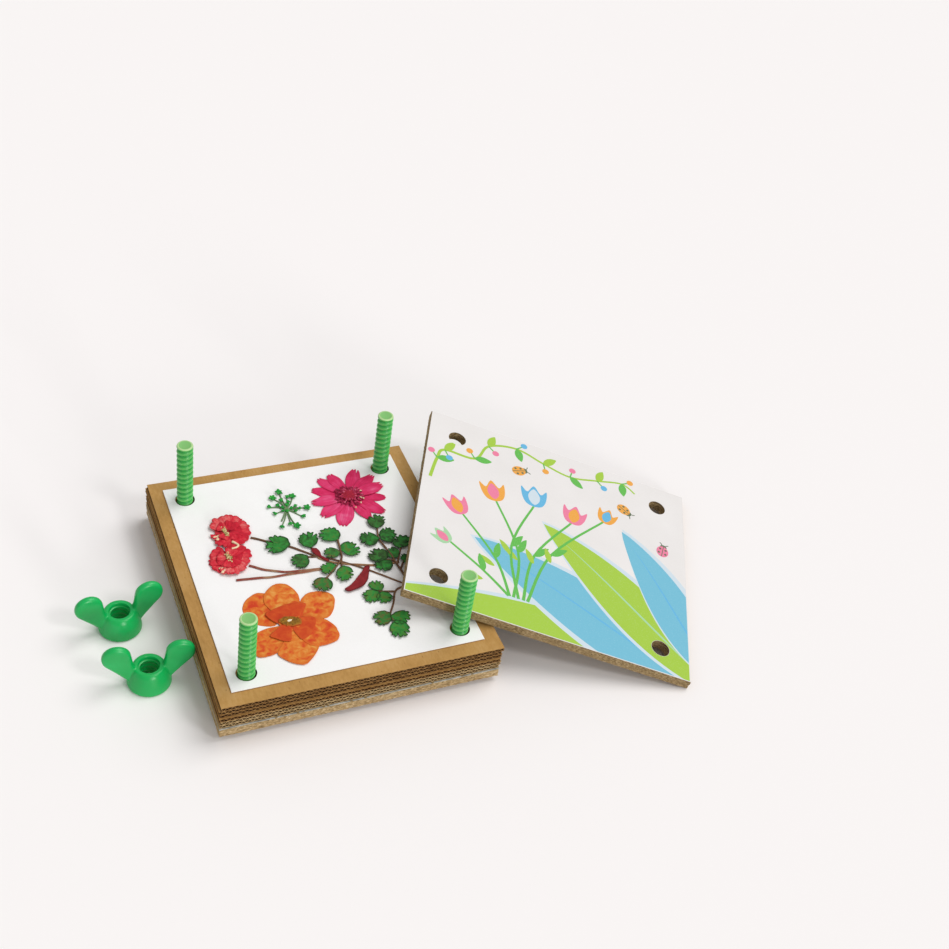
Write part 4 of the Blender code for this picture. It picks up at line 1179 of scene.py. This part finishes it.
def make_stems():
    for number, (node, points) in enumerate(FLOWER_STEMS.items()):
        shape = pressing()
        path = stem_path(points, 0.36, seed=number + 20)
        add_tube(shape, path, tapered(path, 0.62, 0.50), 10, flat=0.6)
        pressed(f"pressed_{node}", shape, [stem_red], "brown_stem", node, thick=0)
    shape = pressing()
    path = stem_path(BROAD_STEM, 0.33, seed=31)
    add_tube(shape, path, tapered(path, 0.50, 0.62), 10, flat=0.55)
    pressed("pressed_broad_stem", shape, [stem_tan], "brown_stem", thick=0)


DARK_LEAVES = {
    "dark_leaf_1": ((20.3, -8.6), (18.2, -8.3), (16.4, -10.4), (14.1, -12.6), (11.6, -15.0), (8.4, -17.4),
                    (5.7, -18.8), (7.0, -20.7), (10.2, -20.3), (13.4, -19.3), (16.4, -17.0), (18.2, -13.6)),
    "dark_leaf_2": ((4.6, -1.1), (3.1, -0.9), (1.0, 2.2), (-0.9, 5.2), (-0.9, 7.6), (1.2, 7.8), (2.2, 5.4),
                    (2.3, 2.6))}


def make_dark_leaves():
    for number, (node, points) in enumerate(DARK_LEAVES.items()):
        outline, centre = petal_outline(points, 6)
        edged = [p + (p - centre).normalized() * 0.18 * ripple(p.x, p.y, 1.3, number) for p in outline]
        shape = pressing()
        add_patch(shape, edged, centre, lambda x, y, share: (
            0.75 + 0.30 * share ** 2 * (1 + ripple(x, y, 5, number)) / 2
            + 0.10 * ripple(x, y, 1.5, number)))
        pressed(f"pressed_{node}", shape, [dark_red], "dark_red_leaf", node)


UMBEL_MIDDLE = (-4.0, 34.6)
# Heads of the umbel: x and y, and the length of their lobes
UMBEL_STARS = ((-4.5, 45.8, 2.0), (-8.4, 43.0, 2.0), (0.5, 41.8, 1.9), (5.0, 33.2, 1.9), (-2.8, 23.1, 2.2))
UMBEL_BUDS = ((-1.9, 41.7, 1.6), (-10.9, 37.5, 1.7), (1.3, 28.7, 1.8), (-9.5, 32.9, 1.5), (-9.1, 24.6, 1.7),
              (-5.0, 25.6, 1.6), (-7.0, 37.3, 1.6), (-5.0, 40.2, 1.5), (-2.4, 38.4, 1.4), (-0.3, 35.4, 1.4),
              (1.3, 33.7, 1.3), (-0.8, 32.6, 1.3), (-3.4, 36.6, 1.5), (-5.4, 35.6, 1.4), (-4.2, 33.6, 1.4),
              (-2.4, 34.6, 1.3), (-5.8, 33.8, 1.2))


def bud_blade(length, seed):
    """A tiny pointed lobe of a star or bud."""
    def point(u, v):
        across = 0.36 * length * v * math.sin(math.pi * (0.12 + 0.80 * u))
        return length * u, across, 0.35 * math.sin(2.4 * u) + 0.1 * seed
    return point


def make_umbel():
    """Thin rays from one point, each with a tiny star or bud at its end."""
    chance = random.Random(12)
    shape = pressing()
    for heads, lobes in ((UMBEL_STARS, 5), (UMBEL_BUDS, 3)):
        for x, y, size in heads:
            away = Vector((x - UMBEL_MIDDLE[0], y - UMBEL_MIDDLE[1]))
            bend = Vector((-away.y, away.x)) * chance.uniform(-0.08, 0.08)
            half_way = Vector(UMBEL_MIDDLE) + away / 2 + bend
            path = stem_path((UMBEL_MIDDLE, half_way, (x, y)), 0.35, 5, seed=x)
            add_tube(shape, path, tapered(path, 0.10, 0.075), 6, paint=1)
            turn = math.atan2(away.y, away.x)
            spread = TAU / 5 if lobes == 5 else 0.75
            for k in range(lobes):
                add_blade(shape, (x, y, 0.45 + 0.05 * k), turn + spread * (k - (lobes - 1) / 2), 5, 4,
                          bud_blade(size * chance.uniform(0.75, 1.05), chance.random()),
                          chance.uniform(-0.12, 0.15))
            add_knob(shape, (x, y, 0.62), 0.34, -0.05)
    stalk = stem_path((UMBEL_MIDDLE, (-7.4, 29.4), (-8.4, 28.0)), 0.35, 5, seed=2)
    add_tube(shape, stalk, tapered(stalk, 0.17, 0.14), 8, paint=1)
    pressed("pressed_green_umbel", shape, [umbel_green, umbel_stalk], "green_leaf", "green_umbel",
            thick=0.2)


# The cover's printed sheet and its inks, in millimetres from the cover's middle
INKS = {"lime": "#A0C539", "leaf_green": "#5DB547", "sky": "#6EB7CF", "pale_blue": "#CAD8E1",
        "pink": "#E77A9B", "orange": "#E8A13B", "pale_green": "#A3CFA0", "blue": "#5FB0D8",
        "dark": "#5B6A4E"}
PRINT_INSET = 0.4
HOLE_REACH = 4.5


def clipped(outline, half_x, half_y):
    """Cut an outline to the sheet's rectangle."""
    points = [Vector(point[:2]) for point in outline]
    for axis, limit, sign in ((0, half_x, 1), (0, half_x, -1), (1, half_y, 1), (1, half_y, -1)):
        kept = []
        for i, point in enumerate(points):
            before = points[i - 1]
            inside, was_inside = sign * point[axis] <= limit, sign * before[axis] <= limit
            if inside != was_inside:
                share = (sign * limit - before[axis]) / (point[axis] - before[axis])
                kept.append(before + (point - before) * share)
            if inside:
                kept.append(point)
        points = kept
    return points


def headed(degrees):
    """The directions ahead and to the left of a heading."""
    turn = math.radians(degrees)
    return Vector((math.cos(turn), math.sin(turn))), Vector((-math.sin(turn), math.cos(turn)))


def oval_leaf(x, y, length, direction, half, bend=0.0, steps=24):
    """A pointed leaf from its foot, bending to the left by a share of its length."""
    out, aside = headed(direction)
    left, right = [], []
    for k in range(steps + 1):
        t = k / steps
        spine = Vector((x, y)) + out * length * t + aside * bend * length * math.sin(math.pi * t / 2) ** 2
        wide = half * math.sin(math.pi * t ** 0.85) ** 0.8 if 0 < k < steps else 0.0
        left.append(spine + aside * wide)
        right.append(spine - aside * wide)
    return right + left[-2:0:-1]


def ribbon(points, start, stop, steps=6):
    """A stroke of tapering width along a smooth path."""
    path = smooth_path(points, steps)
    left, right = [], []
    for i, place in enumerate(path):
        ahead = (path[min(i + 1, len(path) - 1)] - path[max(i - 1, 0)]).normalized()
        half = (start + (stop - start) * i / (len(path) - 1)) / 2
        aside = Vector((-ahead.y, ahead.x)) * half
        left.append(place + aside)
        right.append(place - aside)
    return right + left[::-1]


def blob(x, y, radius, squash=1.0, turn=0.0, sides=28):
    """A round or oval spot."""
    turns = [TAU * k / sides for k in range(sides)]
    return [offset((x, y), radius * math.cos(a), turn, radius * squash * math.sin(a)) for a in turns]


TULIP_CUP = ((0.0, 0.0), (3.0, 1.0), (4.6, 4.4), (4.9, 9.2), (2.6, 7.0), (0.0, 10.6), (-2.6, 7.0),
             (-4.9, 9.2), (-4.6, 4.4), (-3.0, 1.0))
TULIP_HEART = ((0.0, 1.0), (1.9, 3.0), (2.1, 6.0), (0.0, 9.0), (-2.1, 6.0), (-1.9, 3.0))


def turned_outline(points, x, y, size, degrees):
    """A closed curve through points that are drawn upright, scaled, turned to a heading and put in place."""
    turn = math.radians(degrees - 90)
    return [offset((x, y), size * px, turn, size * py) for px, py in smooth_path(points, 5, closed=True)]


# Big leaves that fan out of one corner: foot x and y, length, direction, half width, bend and ink
CORNER_LEAVES = ((78, -70, 152, 173, 21, 0.05, "lime"), (82, -66, 130, 160, 17, -0.05, "sky"),
                 (82, -62, 112, 145, 14, -0.06, "lime"), (82, -58, 92, 126, 12, -0.07, "sky"))
# Tulips in one loose bunch: top x and y, size, lean, ink and heart ink
TULIPS = ((-45, -4, 1.15, 118, "pink", "orange"), (-30, 12, 1.25, 104, "orange", "pink"),
          (-11, 17, 1.30, 94, "blue", "pale_blue"), (8, 14, 1.20, 82, "pink", "orange"),
          (-49, -24, 0.9, 140, "pale_green", "pink"), (24, 22, 1.0, 74, "orange", "blue"))
BUNCH_FOOT = (-14, -44)
# A vine along the top
VINE = ((-62, 14), (-60, 28), (-57, 35), (-42, 36), (-36, 48), (-22, 53), (-8, 49), (6, 46), (20, 50),
        (33, 54), (40, 50))
# Ladybirds: x and y, heading in degrees and ink
LADYBIRDS = ((-20, 38, 25, "orange"), (34, 36, -35, "orange"), (54, 16, 80, "pink"))
LADYBIRD_SPOTS = ((1.5, 1.4), (-1.2, 1.7), (1.5, -1.4), (-1.2, -1.7))
LADYBIRD_FEELER = ((3.4, 0.6), (4.8, 1.2), (5.6, 2.2))


def corner_leaf_shapes():
    """Each big leaf: a pale shadow, the leaf and its middle rib."""
    for x, y, length, direction, half, bend, ink in CORNER_LEAVES:
        yield "pale_blue", oval_leaf(x + 2, y - 1, length * 1.035, direction, half * 1.16, bend)
        yield ink, oval_leaf(x, y, length, direction, half, bend)
        rib = "pale_green" if ink == "lime" else "blue"
        yield rib, oval_leaf(x, y, length * 0.9, direction, 0.55, bend)


def tulip_shapes():
    """Each tulip: a bent stem with two leaves, a cup and its heart."""
    for x, y, size, lean, ink, heart in TULIPS:
        foot = (BUNCH_FOOT[0] + x * 0.12, BUNCH_FOOT[1])
        bend = 0.12 * (y - foot[1]) * (1 if x < foot[0] else -1)
        half_way = ((foot[0] + x) / 2 + bend, (foot[1] + y) / 2)
        yield "leaf_green", ribbon((foot, half_way, (x, y + 1)), 1.5, 1.0)
        yield "leaf_green", oval_leaf(*half_way, 10, lean - 40, 1.7, 0.1)
        yield "lime", oval_leaf(half_way[0], half_way[1] - 5, 9, lean + 42, 1.5, -0.1)
        yield ink, turned_outline(TULIP_CUP, x, y, size, lean)
        yield heart, turned_outline(TULIP_HEART, x, y, size, lean)


def vine_shapes():
    """The vine, then at each point between its ends a leaf on one side and a berry on the other."""
    yield "lime", ribbon(VINE, 1.6, 0.9)
    for i, (place, ahead) in enumerate(zip(VINE[1:-1], VINE[2:])):
        heading = math.degrees(math.atan2(ahead[1] - place[1], ahead[0] - place[0]))
        side = 1 if i % 2 else -1
        yield ("leaf_green", "lime")[i % 2], oval_leaf(*place, 8.5, heading + side * 48, 2.1, 0.08 * side)
        tip = offset(place, 5.2, math.radians(heading - side * 62))
        yield "leaf_green", ribbon((place, tip), 0.7, 0.6)
        yield ("pink", "blue", "orange")[i % 3], blob(*tip, 1.7)


def ladybird_shapes():
    """Each ladybird: two feelers, a head, a body, the line between its wings and four spots."""
    for x, y, degrees, ink in LADYBIRDS:
        out, aside = headed(degrees)
        centre = Vector((x, y))
        for side in (-1, 1):
            feeler = [centre + out * ahead + aside * side * away for ahead, away in LADYBIRD_FEELER]
            yield "dark", ribbon(feeler, 0.45, 0.35)
        yield "dark", blob(*(centre + out * 2.9), 1.7)
        yield ink, blob(x, y, 3.5, 0.86, math.radians(degrees))
        yield "dark", ribbon((centre - out * 3.4, centre, centre + out * 3.4), 0.4, 0.4)
        for ahead, side in LADYBIRD_SPOTS:
            yield "dark", blob(*(centre + out * ahead + aside * side), 0.62)


def ink_prism(outline, low, high, cutter):
    """A thin flat print, cut out where the bolt holes pass."""
    shape = bmesh.new()
    walls = [[shape.verts.new((x * MM, y * MM, z)) for x, y in outline] for z in (low, high)]
    bridge(shape, *walls)
    for wall in walls:
        cap(shape, [wall])
    mesh = as_mesh(shape, "print")
    return cut_out(mesh, cutter) if cutter else mesh


def near_hole(outline, holes, reach):
    """Whether an outline comes within reach of a bolt hole."""
    xs, ys = [p[0] for p in outline], [p[1] for p in outline]
    return any(min(xs) - reach < x < max(xs) + reach and min(ys) - reach < y < max(ys) + reach
               for x, y in holes)


def hole_cutter(holes):
    """An object that takes the bolt holes out of the print."""
    shape = bmesh.new()
    for x, y in holes:
        outline = ring(x, y, HOLE_RADIUS + 0.0001)
        walls = [[shape.verts.new((*point, z)) for point in outline] for z in (-0.001, 0.002)]
        bridge(shape, *walls)
        for wall in walls:
            shape.faces.new(wall)
    return linked("bolt_holes", as_mesh(shape, "bolt_holes"))


def make_print():
    """The label on the cover: a generic garden print, its shapes in thin layers from the lowest up."""
    place, (length, width, thick) = plate_frame("cover_print_sheet")
    board_place, (board_length, board_width, _) = plate_frame("cover_board")
    holes = [(place.inverted() @ hole)[:2] for hole in cover_holes(board_place, board_length, board_width)]
    holes_mm = [(x / MM, y / MM) for x, y in holes]
    top = thick * 0.5
    shape = bmesh.new()
    levels = [(0.0, 0.00004), (top, 0.0)]
    add_slab(shape, length / 2, width / 2, levels, holes, SHEET_EDGE_WEAR / 3, seed=5.0)
    finished("printed_label", as_mesh(shape, "printed_label"), [label_paper], "cover", "printed_paper",
             "cover_print_sheet", place=place)
    half_x, half_y = length / 2 / MM - PRINT_INSET, width / 2 / MM - PRINT_INSET
    shapes = [*corner_leaf_shapes(), *tulip_shapes(), *vine_shapes(), *ladybird_shapes()]
    shapes = [(ink, clipped(outline, half_x, half_y)) for ink, outline in shapes]
    shapes = [(ink, outline) for ink, outline in shapes if len(outline) > 2]
    layer = (thick - top) * 0.9 / len(shapes)
    cutter = hole_cutter(holes)
    sheets = {ink: bmesh.new() for ink in INKS}
    for number, (ink, outline) in enumerate(shapes):
        cut = cutter if near_hole(outline, holes_mm, HOLE_REACH) else None
        sheets[ink].from_mesh(ink_prism(outline, top - 0.00001, top + layer * (number + 1), cut))
    bpy.data.objects.remove(cutter)
    for ink, sheet in sheets.items():
        finished(f"print_in_{ink}", as_mesh(sheet, f"print_in_{ink}", closed=False),
                 [printed_ink(f"{ink}_ink", INKS[ink])], "cover", "printed_paper", place=place)


# Camera, floor and light
def make_camera():
    azimuth, rise, roll = CAMERA_AZIMUTH, CAMERA_RISE, CAMERA_ROLL
    back = Vector((math.sin(azimuth) * math.cos(rise), -math.cos(azimuth) * math.cos(rise), math.sin(rise)))
    right = Vector((math.cos(azimuth), math.sin(azimuth), 0.0))
    up = back.cross(right)
    axes = (right * math.cos(roll) + up * math.sin(roll), up * math.cos(roll) - right * math.sin(roll),
            back)
    data = bpy.data.cameras.new("camera")
    data.lens = CAMERA_LENS
    data.sensor_width = CAMERA_SENSOR
    camera = linked("camera", data)
    camera.matrix_world = (Matrix.Translation(Vector(CAMERA_AIM) + back * CAMERA_AWAY)
                           @ Matrix(axes).transposed().to_4x4())
    bpy.context.scene.camera = camera


BACKDROP = "#F9F5F4"
FLOOR_REACH = 4.0
FILL_STRENGTH = 0.44
# Suns: where each shines from, its strength and how wide it looks in degrees
SUNS = {"key": ((0.48, 0.10, 0.88), 1.42, 38), "front": ((0.36, -0.50, 0.62), 0.50, 11),
        "low": ((0.17, -0.78, 0.17), 0.85, 12)}


def make_floor():
    """Seamless matt paper, the colour of the backdrop."""
    shape = bmesh.new()
    corners = ((-1, -1), (1, -1), (1, 1), (-1, 1))
    shape.faces.new([shape.verts.new((x * FLOOR_REACH, y * FLOOR_REACH, TABLE_Z)) for x, y in corners])
    material, tree = empty_paint("studio_floor")
    coat(tree, {"Base Color": BACKDROP, "Roughness": 0.9, "Specular IOR Level": 0.1}, {})
    floor = linked("floor", painted(as_mesh(shape, "floor", closed=False), [material]))


def make_studio():
    """A white fill from all round, a backdrop that only the camera sees, and three soft suns."""
    world = bpy.data.worlds.new("studio")
    world.use_nodes = True
    tree = world.node_tree
    tree.nodes.clear()
    seen = add(tree, "ShaderNodeLightPath").outputs["Is Camera Ray"]
    fill = add(tree, "ShaderNodeBackground", {"Color": "#FFFFFF", "Strength": FILL_STRENGTH})
    backdrop = add(tree, "ShaderNodeBackground", {"Color": BACKDROP, "Strength": 1.0})
    mixed = add(tree, "ShaderNodeMixShader", None, {0: seen, 1: fill.outputs[0], 2: backdrop.outputs[0]})
    add(tree, "ShaderNodeOutputWorld", None, {"Surface": mixed.outputs[0]})
    bpy.context.scene.world = world
    for name, (place, strength, width) in SUNS.items():
        data = bpy.data.lights.new(name, "SUN")
        data.energy = strength
        data.angle = math.radians(width)
        lamp = linked(name, data)
        lamp.location = place
        lamp.rotation_euler = (-Vector(place)).to_track_quat("-Z", "Y").to_euler()
    bpy.context.scene.view_settings.view_transform = "Standard"


make_boards()
for card in range(1, CARD_COUNT + 1):
    make_card(card)
make_blotter()
make_bolts()
make_nuts()
make_pink_flower()
make_orange_flower()
make_red_flower("red_flower_lower", RED_LOWER, RED_LOWER_SCRAPS, 5)
make_red_flower("red_flower_upper", RED_UPPER, RED_UPPER_SCRAPS, 2, RED_UPPER_HOOK)
make_sprigs()
make_stems()
make_dark_leaves()
make_umbel()
make_print()
make_camera()
make_floor()
make_studio()
